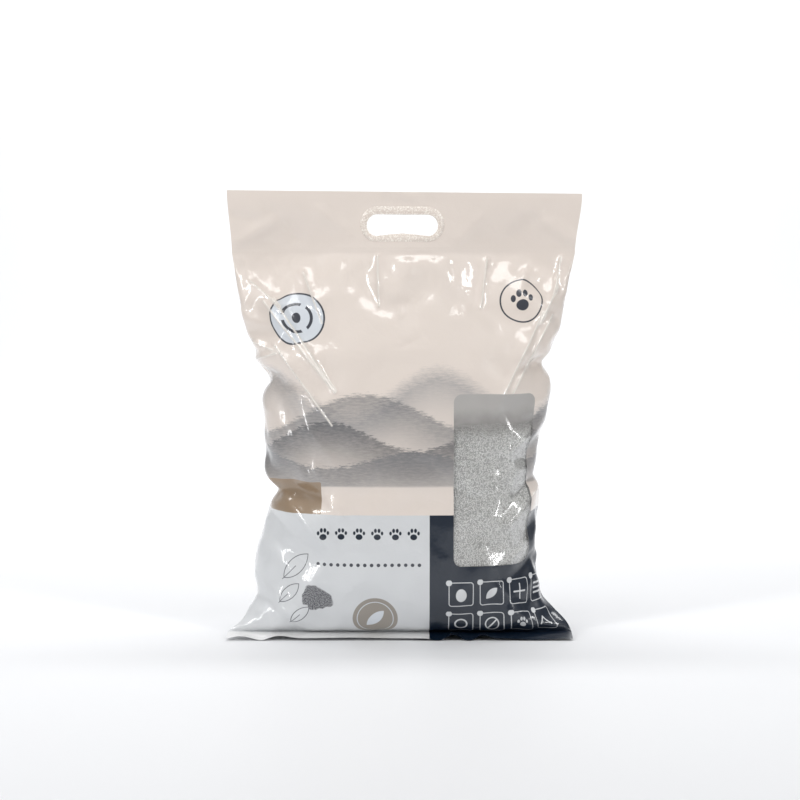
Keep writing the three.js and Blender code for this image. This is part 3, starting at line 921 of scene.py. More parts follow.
@dataclass
class MeshDraft:
    """Points, flat places, faces and finishes of a mesh while it is put together."""

    points: list[np.ndarray] = field(default_factory=list)
    places: list[np.ndarray] = field(default_factory=list)
    quads: list[np.ndarray] = field(default_factory=list)
    finishes: list[int] = field(default_factory=list)
    plies: list[Ply] = field(default_factory=list)
    count: int = 0

    def add(self, points: np.ndarray, places: np.ndarray) -> np.ndarray:
        """Add points.

        Args:
            points: points in any table.
            places: their flat places across and up, in the same table.

        Returns:
            The points' numbers in the same table.
        """
        flat = points.reshape(-1, 3)
        first = self.count
        self.points.append(flat)
        self.places.append(places.reshape(-1, 2))
        self.count += len(flat)
        return np.arange(first, self.count).reshape(points.shape[:-1])

    def face(self, quads: np.ndarray, ply: Ply, finish: int = 0) -> None:
        """Add faces of four corners.

        Args:
            quads: one row of points' numbers each, turning left seen from outside.
            ply: which ply they belong to.
            finish: which finish they have.
        """
        self.quads.append(quads)
        self.finishes += [finish] * len(quads)
        self.plies += [ply] * len(quads)

    def piece(self, name: str, finishes: Sequence[bpy.types.Material], tube: "TubeMap") -> bpy.types.Object:
        """Make the mesh and its object.

        Args:
            name: the piece's name.
            finishes: its materials in order.
            tube: gives places on the printed tube.

        Returns:
            The object, with a UV map of places on the printed tube.
        """
        points, places, quads = np.vstack(self.points), np.vstack(self.places), np.vstack(self.quads)
        used, corners = np.unique(quads, return_inverse=True)
        corners = corners.reshape(quads.shape)
        mesh = bpy.data.meshes.new(name)
        mesh.from_pydata(points[used].tolist(), [], corners.tolist())
        for finish in finishes:
            mesh.materials.append(finish)
        mesh.polygons.foreach_set("material_index", self.finishes)
        mesh.polygons.foreach_set("use_smooth", [True] * len(quads))
        layer = mesh.uv_layers.new(name=PRINT_MAP)
        back = np.array([ply is Ply.BACK for ply in self.plies])[:, None]
        layer.data.foreach_set("uv", tube.places(places[quads], back).astype(np.float32).reshape(-1))
        mesh.update()
        mesh.set_sharp_from_angle(angle=SHARP_EDGE)
        return new_object(name, mesh)



@dataclass(frozen=True)
class TubeMap:
    """Places on the printed tube, as shares of its girth and of its height."""

    width: float
    low: float
    height: float

    def places(self, flats: np.ndarray, back: np.ndarray) -> np.ndarray:
        """Where corners lie on the printed tube.

        Args:
            flats: flat places across and up.
            back: whether each face is on the back.

        Returns:
            The shares round and up.
        """
        across = flats[..., 0] / self.width + 0.5
        round_tube = np.where(back, 1 - across / 2, across / 2)
        return np.stack([round_tube, (flats[..., 1] - self.low) / self.height], axis=-1)


def forward(table: np.ndarray) -> np.ndarray:
    """Faces of a table of points' numbers that face forward where the table is seen upright."""
    corners = [table[:-1, :-1], table[:-1, 1:], table[1:, 1:], table[1:, :-1]]
    return np.stack(corners, axis=-1)


def touched(cells: np.ndarray) -> np.ndarray:
    """Whether each corner of a grid belongs to a marked cell."""
    wide = np.pad(cells, 1)
    return wide[:-1, :-1] | wide[1:, :-1] | wide[:-1, 1:] | wide[1:, 1:]


def rim_steps(cells: np.ndarray) -> np.ndarray:
    """The steps round the edge of marked cells.

    Args:
        cells: which cells are marked.

    Returns:
        One row each: from row, from column, to row, to column.
    """
    wide = np.pad(cells, 1)
    steps = []
    for r, c in np.argwhere(cells):
        sides = {
            (r, c, r, c + 1): wide[r, c + 1],
            (r, c + 1, r + 1, c + 1): wide[r + 1, c + 2],
            (r + 1, c + 1, r + 1, c): wide[r + 2, c + 1],
            (r + 1, c, r, c): wide[r + 1, c],
        }
        steps += [side for side, marked in sides.items() if not marked]
    return np.array(steps)


def bridge(draft: MeshDraft, steps: np.ndarray, near: np.ndarray, far: np.ndarray, finish: int = 0) -> None:
    """Close the edge between two layers of film."""
    start, end = (steps[:, 0], steps[:, 1]), (steps[:, 2], steps[:, 3])
    draft.face(np.stack([near[start], near[end], far[end], far[start]], axis=-1), Ply.FRONT, finish)


@dataclass
class FilmGrid:
    """The grid on the flat film that its pieces are cut from, with the window and the hand hole."""

    pair: FilmPair
    window_left: float = 54 * MM
    window_width: float = 96 * MM
    window_low: float = 84 * MM
    window_height: float = 190 * MM
    window_corner: float = 9 * MM
    hole_left: float = -43 * MM
    hole_width: float = 81 * MM
    hole_low: float = 447 * MM
    hole_height: float = 25 * MM
    hole_sag: float = 3 * MM
    column_step: float = 3.3 * MM
    row_step: float = 2.75 * MM
    weld_band: float = 7 * MM
    weld_rise: float = 0.35 * MM

    def __post_init__(self) -> None:
        """Lay the grid out and fit it to the cut-outs."""
        form, film = self.pair.form, self.pair.pouch_film
        low, high = (self.pair.flat_height(self.window_low + up) for up in (0.0, self.window_height))
        right = self.window_left + self.window_width
        self.window = Outline(self.window_left, right, low, high, self.window_corner)
        hole_low = self.hole_low - form.pouch_height + film
        hole_right, hole_high = self.hole_left + self.hole_width, hole_low + self.hole_height
        corner = self.hole_height / 2 - 0.1 * MM
        self.hand_hole = Outline(self.hole_left, hole_right, hole_low, hole_high, corner, self.hole_sag)
        across = stretch([-form.half_width, self.window_left, right, form.half_width], self.column_step)
        up = stretch([-form.fin_length, 0, low, high, film, film + form.header_height], self.row_step)
        flats, heights = np.meshgrid(across, up)
        self.cells = {}
        for name, outline in (("window", self.window), ("hand_hole", self.hand_hole)):
            middles = [(t[:-1, :-1] + t[1:, 1:]) / 2 for t in (flats, heights)]
            cut = outline.distance(*middles) < 0
            edge = touched(cut) & touched(~cut)
            moved = outline.snapped(flats, heights)
            flats, heights = np.where(edge, moved[0], flats), np.where(edge, moved[1], heights)
            self.cells[name] = cut
        self.places = np.stack([flats, heights], axis=-1)
        self.tube = TubeMap(form.film_width, -form.fin_length, float(up[-1] - up[0]))
        self.pouch_rows = np.flatnonzero((up > 1 * MM) & (up < film - 1 * MM))

    def layer(self, ply: Ply, rise: float | np.ndarray) -> np.ndarray:
        """Points of a ply at the grid's places.

        Args:
            ply: front or back.
            rise: how far outside the ply's inner side.

        Returns:
            Points by row and column.
        """
        flats, heights = self.places[..., 0], self.places[..., 1]
        half_band = self.weld_band / 2
        over_weld = (heights - self.pair.pouch_film - half_band) / (half_band + self.row_step)
        band = self.weld_rise * smooth(2 - 2 * np.abs(over_weld)) * (np.asarray(rise) > 0)
        out = self.pair.out(ply, flats, heights)
        points = self.pair.sheet(ply).at(flats, heights) + out * (rise + band)[..., None]
        points[..., 2] = np.maximum(points[..., 2], self.pair.form.film_thickness - np.asarray(rise))
        return points


@dataclass
class PrintedFilm:
    """The printed film: both plies as one closed skin, with the window's and the hand hole's edges."""

    grid: FilmGrid
    inner_gap: float = 0.5 * MM

    def build(self, print_finish: bpy.types.Material, inner_finish: bpy.types.Material) -> bpy.types.Object:
        """Make the film.

        Args:
            print_finish: the printed outside.
            inner_finish: the plain inside.

        Returns:
            The piece, in place.
        """
        grid, draft = self.grid, MeshDraft()
        thick = grid.pair.form.film_thickness
        shape = grid.places.shape[:2]
        outside = [grid.layer(ply, thick) for ply in Ply]
        by_window = touched(grid.cells["window"])
        inside = [grid.layer(ply, np.where(by_window, 0.0, -self.inner_gap)) for ply in Ply]
        edge = edge_mask(*shape, 1) == 0
        self.join(outside, edge)
        front = draft.add(outside[0], grid.places)
        back = np.where(edge, front, draft.add(outside[1], grid.places))
        hole, window = grid.cells["hand_hole"], grid.cells["window"]
        draft.face(forward(front)[~(hole | window)], Ply.FRONT)
        draft.face(forward(back)[~hole][:, ::-1], Ply.BACK)
        bridge(draft, rim_steps(hole), front, back)
        rows = grid.pouch_rows
        keep = np.zeros((shape[0] - 1, shape[1] - 1), dtype=bool)
        keep[rows[0] : rows[-1], 1:-1] = True
        inner_edge = touched(keep) & touched(~keep)
        self.join(inside, inner_edge)
        front_inner = draft.add(inside[0], grid.places)
        back_inner = np.where(inner_edge, front_inner, draft.add(inside[1], grid.places))
        draft.face(forward(front_inner)[keep & ~window][:, ::-1], Ply.FRONT, 1)
        draft.face(forward(back_inner)[keep], Ply.BACK, 1)
        bridge(draft, rim_steps(window), front, front_inner, 1)
        return draft.piece("printed_film", [print_finish, inner_finish], grid.tube)

    @staticmethod
    def join(layers: list[np.ndarray], edge: np.ndarray) -> None:
        """Bring two layers together along an edge."""
        layers[0][edge] = (layers[0][edge] + layers[1][edge]) / 2


@dataclass
class WindowFilm:
    """The unprinted, clear area of the front."""

    grid: FilmGrid

    def build(self, finish: bpy.types.Material) -> bpy.types.Object:
        """Make the clear film.

        Args:
            finish: the clear film's material.

        Returns:
            The piece, in place.
        """
        draft, cells = MeshDraft(), self.grid.cells["window"]
        outside = draft.add(self.grid.layer(Ply.FRONT, self.grid.pair.form.film_thickness), self.grid.places)
        inside = draft.add(self.grid.layer(Ply.FRONT, 0.0), self.grid.places)
        draft.face(forward(outside)[cells], Ply.FRONT)
        draft.face(forward(inside)[cells][:, ::-1], Ply.FRONT)
        steps = rim_steps(cells)[:, [2, 3, 0, 1]]
        bridge(draft, steps, outside, inside)
        return draft.piece("window_film", [finish], self.grid.tube)


@dataclass
class LitterBed:
    """The litter as a body that fills the pouch up to its top line."""

    grid: FilmGrid
    fill_height: float = 257 * MM
    heap: float = 9 * MM
    front_gap: float = 2.5 * MM
    edge: float = 192 * MM
    columns: int = 116
    rows: int = 96
    crown_rings: int = 6
    foot: float = 14 * MM

    def build(self, finish: bpy.types.Material) -> bpy.types.Object:
        """Make the bed.

        Args:
            finish: the bed's material.

        Returns:
            The piece, in place.
        """
        pair, draft = self.grid.pair, MeshDraft()
        top = pair.flat_height(self.fill_height)
        flats, heights = np.meshgrid(
            np.linspace(-self.edge, self.edge, self.columns), np.linspace(self.foot, top, self.rows)
        )
        front, back = (pair.sheet(ply).at(flats, heights) for ply in Ply)
        room = np.linalg.norm(back - front, axis=-1, keepdims=True)
        inset = np.minimum(self.front_gap, 0.4 * room)
        front_in, back_in = (
            points - pair.out(ply, flats, heights) * inset
            for ply, points in ((Ply.FRONT, front), (Ply.BACK, back))
        )
        rings = np.concatenate([front_in, back_in[:, ::-1]], axis=1)
        rings = np.concatenate([self.capped(rings[0], 0.0)[::-1], rings, self.capped(rings[-1], self.heap)])
        numbers = draft.add(rings, np.zeros(rings.shape[:2] + (2,)))
        closed = np.concatenate([numbers, numbers[:, :1]], axis=1)
        draft.face(forward(closed).reshape(-1, 4), Ply.FRONT)
        for ring, turn in ((numbers[0], -1), (numbers[-1], 1)):
            half = len(ring) // 2
            strip = np.stack([ring[:half], ring[half:][::-1]])
            faces = forward(strip).reshape(-1, 4)
            draft.face(faces[:, ::turn], Ply.FRONT)
        return draft.piece("litter_bed", [finish], self.grid.tube)

    def capped(self, ring: np.ndarray, heap: float) -> np.ndarray:
        """Rings that close the bed above or below a ring of it.

        Args:
            ring: the ring's points.
            heap: how far the middle rises.

        Returns:
            The rings by number, outside first.
        """
        middle = ring.mean(axis=0)
        shares = np.linspace(0, 1, self.crown_rings + 2)[1:-1, None, None]
        rings = ring[None] + (middle - ring)[None] * shares * np.array([0.5, 1.0, 1.0])
        rings[..., 2] += heap * smooth(shares[..., 0])
        return rings


@dataclass
class HandHoleWeld:
    """The knurled weld round the hand hole, on both sides of the header."""

    grid: FilmGrid
    side: float = 7 * MM
    below: float = 6 * MM
    above: float = 9 * MM
    rise: float = 1.3 * MM
    lip: float = 0.2 * MM
    count: int = 128
    rings: int = 6
    stud_radius: float = 0.85 * MM
    stud_tip: float = 0.35
    stud_rise: float = 0.5 * MM

    def build(self, finish: bpy.types.Material) -> bpy.types.Object:
        """Make the weld with its studs.

        Args:
            finish: the weld's material.

        Returns:
            The piece, in place.
        """
        hole = self.grid.hand_hole
        inner = hole.loop(self.count)
        middle = inner.mean(axis=0)
        inner = inner + (middle - inner) * (self.lip / np.linalg.norm(middle - inner, axis=1))[:, None]
        outer = hole.grown(self.side, self.below, self.above).loop(self.count)
        shares = np.linspace(0, 1, self.rings + 1)[:, None, None]
        places = inner[None] + (outer - inner)[None] * shares
        draft = MeshDraft()
        tables = []
        for ply in Ply:
            flats, heights = places[..., 0], places[..., 1]
            out = self.grid.pair.out(ply, flats, heights)
            crown = np.sin(math.pi * np.clip(shares[:, 0, 0], 0.12, 1))[:, None]
            rise = self.grid.pair.form.film_thickness + self.rise * crown * np.ones_like(flats)
            rise[-1] = 0
            points = self.grid.pair.sheet(ply).at(flats, heights) + out * rise[..., None]
            tables.append(draft.add(points, places))
        tables[1][-1] = tables[0][-1]
        front, back = (np.concatenate([table, table[:, :1]], axis=1) for table in tables)
        draft.face(forward(front).reshape(-1, 4)[:, ::-1], Ply.FRONT)
        draft.face(forward(back).reshape(-1, 4), Ply.BACK)
        rim = np.stack([front[0], back[0]])
        draft.face(forward(rim).reshape(-1, 4), Ply.FRONT)
        piece = draft.piece("hand_hole_weld", [finish], self.grid.tube)
        base, tip = self.stud_radius, self.stud_radius * self.stud_tip
        sizes = {"Base radius": base, "Tip radius": tip, "Rise": self.stud_rise}
        apply_nodes(piece, self.studs(finish), sizes)
        return piece

    def studs(self, finish: bpy.types.Material) -> bpy.types.NodeTree:
        """Geometry nodes that stand a pyramid on every face of the weld.

        Args:
            finish: the studs' material.

        Returns:
            The node tree.
        """
        geometry = ("Geometry", "Geometry")
        inputs = [geometry, ("Base radius", "Float"), ("Tip radius", "Float"), ("Rise", "Float")]
        wiring, (weld, base, tip, rise), out = node_group("weld_studs", "Geometry", inputs, geometry)
        kept = wiring.node("GeometryNodeCaptureAttribute", domain="FACE")
        kept.capture_items.new("VECTOR", "way")
        wiring.fill(kept, {"Geometry": weld, 1: wiring.node("GeometryNodeInputNormal").outputs["Normal"]})
        spots = wiring.node("GeometryNodeMeshToPoints", {"Mesh": kept.outputs["Geometry"]}, mode="FACES")
        sizes = {"Vertices": 4, "Radius Top": tip, "Radius Bottom": base, "Depth": rise}
        stud = wiring.node("GeometryNodeMeshCone", sizes)
        turned = wiring.node("FunctionNodeAlignEulerToVector", {"Vector": kept.outputs[1]}, axis="Z")
        places = {"Points": spots.outputs[0], "Instance": stud.outputs["Mesh"], "Rotation": turned.outputs[0]}
        placed = wiring.node("GeometryNodeInstanceOnPoints", places)
        joined = wiring.node("GeometryNodeJoinGeometry", {"Geometry": placed.outputs["Instances"]})
        wiring.feed(joined.inputs["Geometry"], weld)
        wiring.put_out(joined.outputs["Geometry"], finish, out)
        return wiring.tree


def arithmetic(operation: str, swapped: bool = False) -> Callable[["Value", object], "Value"]:
    """A sign of arithmetic, as a method that adds a Math node.

    Args:
        operation: what the node does.
        swapped: whether the other value comes first.

    Returns:
        The method.
    """

    def join(value: "Value", other: object) -> "Value":
        """Join two values."""
        return value.wiring.maths(operation, *((other, value) if swapped else (value, other)))

    return join


@dataclass(frozen=True)
class Value:
    """A value in a node tree, which takes part in sums as a plain number does."""

    wiring: "Wiring"
    socket: bpy.types.NodeSocket
    __add__, __radd__ = arithmetic("ADD"), arithmetic("ADD", swapped=True)
    __sub__, __rsub__ = arithmetic("SUBTRACT"), arithmetic("SUBTRACT", swapped=True)
    __mul__, __truediv__ = arithmetic("MULTIPLY"), arithmetic("DIVIDE")

    def __abs__(self) -> "Value":
        """The value without its sign."""
        return self.wiring.maths("ABSOLUTE", self)


@dataclass
class Wiring:
    """A node tree that is being wired up."""

    tree: bpy.types.NodeTree

    def node(self, kind: str, inputs: dict | None = None, **settings: object) -> bpy.types.Node:
        """Add a node.

        Args:
            kind: its type.
            inputs: what its inputs take, by name or number.
            settings: its settings by name.

        Returns:
            The node.
        """
        node = self.tree.nodes.new(kind)
        for name, value in settings.items():
            setattr(node, name, value)
        self.fill(node, inputs or {})
        return node

    def fill(self, node: bpy.types.Node, inputs: dict) -> None:
        """Wire or set some inputs of a node, by name or number."""
        for name, value in inputs.items():
            self.feed(node.inputs[name], value)

    def feed(self, socket: bpy.types.NodeSocket, value: object) -> None:
        """Wire another node's output to a socket, or set its value.

        Args:
            socket: the input.
            value: an output, a colour, or any other value. None leaves the socket as it is.
        """
        if isinstance(value, Value):
            value = value.socket
        if isinstance(value, bpy.types.NodeSocket):
            self.tree.links.new(value, socket)
        elif value is not None:
            socket.default_value = value.linear() if isinstance(value, Hue) else value

    def value(self, kind: str, inputs: Iterable[object], **settings: object) -> Value:
        """Add a node whose inputs are given in order, and take its first output."""
        return Value(self, self.node(kind, dict(enumerate(inputs)), **settings).outputs[0])

    def maths(self, operation: str, *values: object) -> Value:
        """Add a Math node."""
        return self.value("ShaderNodeMath", values, operation=operation)

    def least(self, *values: object) -> Value:
        """The least of some values."""
        return reduce(lambda first, second: self.maths("MINIMUM", first, second), values)

    def most(self, *values: object) -> Value:
        """The greatest of some values."""
        return reduce(lambda first, second: self.maths("MAXIMUM", first, second), values)

    def length(self, across: Value, up: Value) -> Value:
        """The length of a line that runs so far across and so far up."""
        return self.maths("SQRT", across * across + up * up)

    def ranged(self, value: object, low: float, high: float, out_low: float, out_high: float) -> Value:
        """Ease a value from the range between low and high into another."""
        values = (value, low, high, out_low, out_high)
        return self.value("ShaderNodeMapRange", values, interpolation_type="SMOOTHSTEP")

    def grouped(self, group: bpy.types.NodeTree, *values: object) -> Value:
        """Add a node group with its inputs in order."""
        return self.value("ShaderNodeGroup", values, node_tree=group)

    def noise(self, vector: object, scale: float, detail: float = 3.0, rough: float = 0.5) -> Value:
        """Noise at a place."""
        inputs = {"Vector": vector, "Scale": scale, "Detail": detail, "Roughness": rough}
        return Value(self, self.node("ShaderNodeTexNoise", inputs).outputs[0])

    def mixed(self, share: object, first: object, second: object) -> bpy.types.NodeSocket:
        """Mix two colours.

        Args:
            share: how much of the second.
            first: the first colour.
            second: the second colour.

        Returns:
            The mixed colour.
        """
        node = self.node("ShaderNodeMix", data_type="RGBA")
        for name, value in (("Factor_Float", share), ("A_Color", first), ("B_Color", second)):
            self.feed(next(i for i in node.inputs if i.identifier == name), value)
        return next(o for o in node.outputs if o.identifier == "Result_Color")

    def parts(self, vector: object) -> list[Value]:
        """The three parts of a vector."""
        node = self.node("ShaderNodeSeparateXYZ", {0: vector})
        return [Value(self, part) for part in node.outputs]

    def place(self) -> bpy.types.NodeSocket:
        """The place on the bag, in metres."""
        return self.node("ShaderNodeTexCoord").outputs["Object"]

    def printed_place(self) -> list[Value]:
        """The place on the printed tube, as shares of its girth and of its height."""
        return self.parts(self.node("ShaderNodeUVMap", uv_map=PRINT_MAP).outputs[0])

    def bump(self, height: object, strength: float = 1.0, normal: object = None) -> bpy.types.NodeSocket:
        """A normal that is bent by a height in metres."""
        inputs = {"Height": height, "Strength": strength, "Distance": 1.0, "Normal": normal}
        return self.node("ShaderNodeBump", inputs).outputs[0]

    def put_out(self, geometry: object, material: bpy.types.Material, out: bpy.types.NodeSocket) -> None:
        """End a tree: make its instances real and give them their material."""
        real = self.node("GeometryNodeRealizeInstances", {"Geometry": geometry})
        dressing = {"Geometry": real.outputs["Geometry"], "Material": material}
        self.feed(out, self.node("GeometryNodeSetMaterial", dressing).outputs["Geometry"])


def apply_nodes(piece: bpy.types.Object, tree: bpy.types.NodeTree, values: dict[str, object]) -> None:
    """Run geometry nodes on a piece and keep the result as its mesh.

    Args:
        piece: the piece.
        tree: the node tree.
        values: its inputs by name.
    """
    modifier = piece.modifiers.new(tree.name, "NODES")
    modifier.node_group = tree
    for item in tree.interface.items_tree:
        if item.item_type == "SOCKET" and item.in_out == "INPUT" and item.name in values:
            modifier[item.identifier] = values[item.name]
    bpy.context.view_layer.update()
    shown = piece.evaluated_get(bpy.context.evaluated_depsgraph_get())
    mesh = bpy.data.meshes.new_from_object(shown)
    piece.modifiers.remove(modifier)
    old = piece.data
    piece.data = mesh
    bpy.data.meshes.remove(old)
    mesh.name = piece.name


def node_group(
    name: str, kind: str, inputs: Sequence[tuple[str, str]], output: tuple[str, str]
) -> tuple[Wiring, list[Value], bpy.types.NodeSocket]:
    """Start a node group.

    Args:
        name: the group's name.
        kind: Shader or Geometry.
        inputs: the name and the kind of each input.
        output: the name and the kind of the output.

    Returns:
        The wiring, the input values and the output's socket.
    """
    tree = bpy.data.node_groups.new(name, kind + "NodeTree")
    for label, sort in inputs:
        tree.interface.new_socket(label, in_out="INPUT", socket_type="NodeSocket" + sort)
    tree.interface.new_socket(output[0], in_out="OUTPUT", socket_type="NodeSocket" + output[1])
    wiring = Wiring(tree)
    start, end = wiring.node("NodeGroupInput"), wiring.node("NodeGroupOutput")
    return wiring, [Value(wiring, start.outputs[label]) for label, _ in inputs], end.inputs[0]


class Hue(Enum):
    """The print's colours, as the photo shows them lit, in display values from 0 to 255."""

    BEIGE = (229, 218, 209)
    PALE_BLUE = (214, 216, 218)
    NAVY = (8, 25, 43)
    BROWN = (152, 131, 108)
    WARM_GREY = (150, 143, 134)
    HILL_FAR = (152, 152, 154)
    HILL_MIDDLE = (120, 121, 124)
    HILL_NEAR = (86, 88, 92)
    BADGE = (214, 219, 225)
    # Plain white for the inner film's clean patches, and also the painted highlight on the fin.
    LINE = (58, 61, 70)
    WHITE = (236, 236, 236)
    # The weld's specks, and also the painted highlight along the front's crests.
    WELD_DOT = (252, 246, 238)
    INSIDE = (196, 196, 194)
    DUST = (182, 179, 176)
    GRAIN_DARK = (128, 127, 124)
    GRAIN_LIGHT = (255, 255, 253)
    FLOOR = (233, 234, 236)

    def linear(self) -> tuple[float, float, float, float]:
        """The colour as a shader takes it."""
        shares = [c / 255 for c in self.value]
        return (*[c / 12.92 if c <= 0.04045 else ((c + 0.055) / 1.055) ** 2.4 for c in shares], 1.0)


@dataclass
class Shapes:
    """Shader node groups that measure, in millimetres, how far a place on the print is outside a shape."""

    disc: bpy.types.NodeTree = field(init=False)
    box: bpy.types.NodeTree = field(init=False)
    stroke: bpy.types.NodeTree = field(init=False)
    lens: bpy.types.NodeTree = field(init=False)
    paw: bpy.types.NodeTree = field(init=False)
    crest: bpy.types.NodeTree = field(init=False)
    ink: bpy.types.NodeTree = field(init=False)

    def __post_init__(self) -> None:
        """Build the groups."""
        self.disc, self.box, self.stroke = self.disc_group(), self.box_group(), self.stroke_group()
        self.lens, self.ink = self.lens_group(), self.ink_group()
        self.paw, self.crest = self.paw_group(), self.crest_group()

    @staticmethod
    def start(name: str, labels: Sequence[str]) -> tuple[Wiring, list[Value], bpy.types.NodeSocket]:
        """Start a group that gives a distance from numbers."""
        return node_group(name, "Shader", [(label, "Float") for label in labels], ("Distance", "Float"))

    def disc_group(self) -> bpy.types.NodeTree:
        """A disc: place, middle, half sizes. Its unequal half sizes make an oval.

        Returns:
            The group.
        """
        labels = ["X", "Y", "Across", "Up", "Half width", "Half height"]
        wiring, values, out = self.start("disc_shape", labels)
        x, y, across, up, half_width, half_height = values
        dx = (x - across) / half_width
        dy = (y - up) / half_height
        wiring.feed(out, (wiring.length(dx, dy) - 1.0) * wiring.least(half_width, half_height))
        return wiring.tree

    def box_group(self) -> bpy.types.NodeTree:
        """A rounded box: place, middle, half sizes and corner.

        Returns:
            The group.
        """
        labels = ["X", "Y", "Across", "Up", "Half width", "Half height", "Corner"]
        wiring, values, out = self.start("box_shape", labels)
        x, y, across, up, half_width, half_height, corner = values
        reaches = []
        for place, middle, half in ((x, across, half_width), (y, up, half_height)):
            reaches.append(abs(place - middle) - half + corner)
        far = [wiring.most(reach, 0.0) for reach in reaches]
        within = wiring.least(wiring.most(*reaches), 0.0)
        wiring.feed(out, wiring.length(*far) + within - corner)
        return wiring.tree

    def stroke_group(self) -> bpy.types.NodeTree:
        """A stroke: place, start, end and half width.

        Returns:
            The group.
        """
        labels = ["X", "Y", "From across", "From up", "To across", "To up", "Half width"]
        wiring, values, out = self.start("stroke_shape", labels)
        x, y, from_x, from_y, to_x, to_y, half = values
        run_x, run_y = to_x - from_x, to_y - from_y
        at_x, at_y = x - from_x, y - from_y
        dot = at_x * run_x + at_y * run_y
        size = run_x * run_x + run_y * run_y
        share = wiring.least(wiring.most(dot / size, 0.0), 1.0)
        off_x = at_x - share * run_x
        off_y = at_y - share * run_y
        wiring.feed(out, wiring.length(off_x, off_y) - half)
        return wiring.tree

    def lens_group(self) -> bpy.types.NodeTree:
        """A leaf between two arcs, on a slant: place, middle, half length and half width.

        Returns:
            The group.
        """
        labels = ["X", "Y", "Across", "Up", "Half length", "Half width"]
        wiring, values, out = self.start("leaf_shape", labels)
        x, y, across, up, long, wide = values
        dx, dy = x - across, y - up
        slant = math.sqrt(0.5)
        along = (dx + dy) * slant
        aside = abs((dx - dy) * slant)
        ratio = (long * long - wide * wide) / (wide * 2.0)
        radius = ratio + wide
        wiring.feed(out, wiring.length(aside + ratio, along) - radius)
        return wiring.tree

    def paw_group(self) -> bpy.types.NodeTree:
        """A paw's pad and four toes: place, middle and half size.

        Returns:
            The group.
        """
        wiring, values, out = self.start("paw_shape", ["X", "Y", "Across", "Up", "Half size"])
        x, y, across, up, size = values
        at_x = (x - across) / size
        at_y = (y - up) / size
        away = abs(at_x)
        pad = wiring.grouped(self.disc, at_x, at_y, 0.0, -0.38, 0.50, 0.42)
        inner_toe = wiring.grouped(self.disc, away, at_y, 0.26, 0.55, 0.21, 0.31)
        outer_toe = wiring.grouped(self.disc, away, at_y, 0.70, 0.17, 0.19, 0.28)
        nearest = wiring.least(inner_toe, outer_toe, pad)
        wiring.feed(out, nearest * size)
        return wiring.tree

    def crest_group(self) -> bpy.types.NodeTree:
        """The height of a pinched crest: place, start, end, rise and spread.

        Returns:
            The group.
        """
        labels = ["X", "Y", "From across", "From up", "To across", "To up", "Rise", "Spread"]
        wiring, values, out = self.start("crest_shape", labels)
        away = wiring.grouped(self.stroke, *values[:6], 0.0)
        fall = wiring.maths("EXPONENT", away / values[7] * -1.0)
        wiring.feed(out, fall * values[6])
        return wiring.tree

    def ink_group(self) -> bpy.types.NodeTree:
        """Ink laid over a colour inside a shape, with a soft edge.

        Returns:
            The group.
        """
        inputs = [("Under", "Color"), ("Ink", "Color"), ("Distance", "Float"), ("Edge", "Float")]
        wiring, (under, ink, distance, edge), out = node_group("ink", "Shader", inputs, ("Color", "Color"))
        share = 0.5 - distance / edge
        share = wiring.least(wiring.most(share, 0.0), 1.0)
        wiring.feed(out, wiring.mixed(share, under, ink))
        return wiring.tree


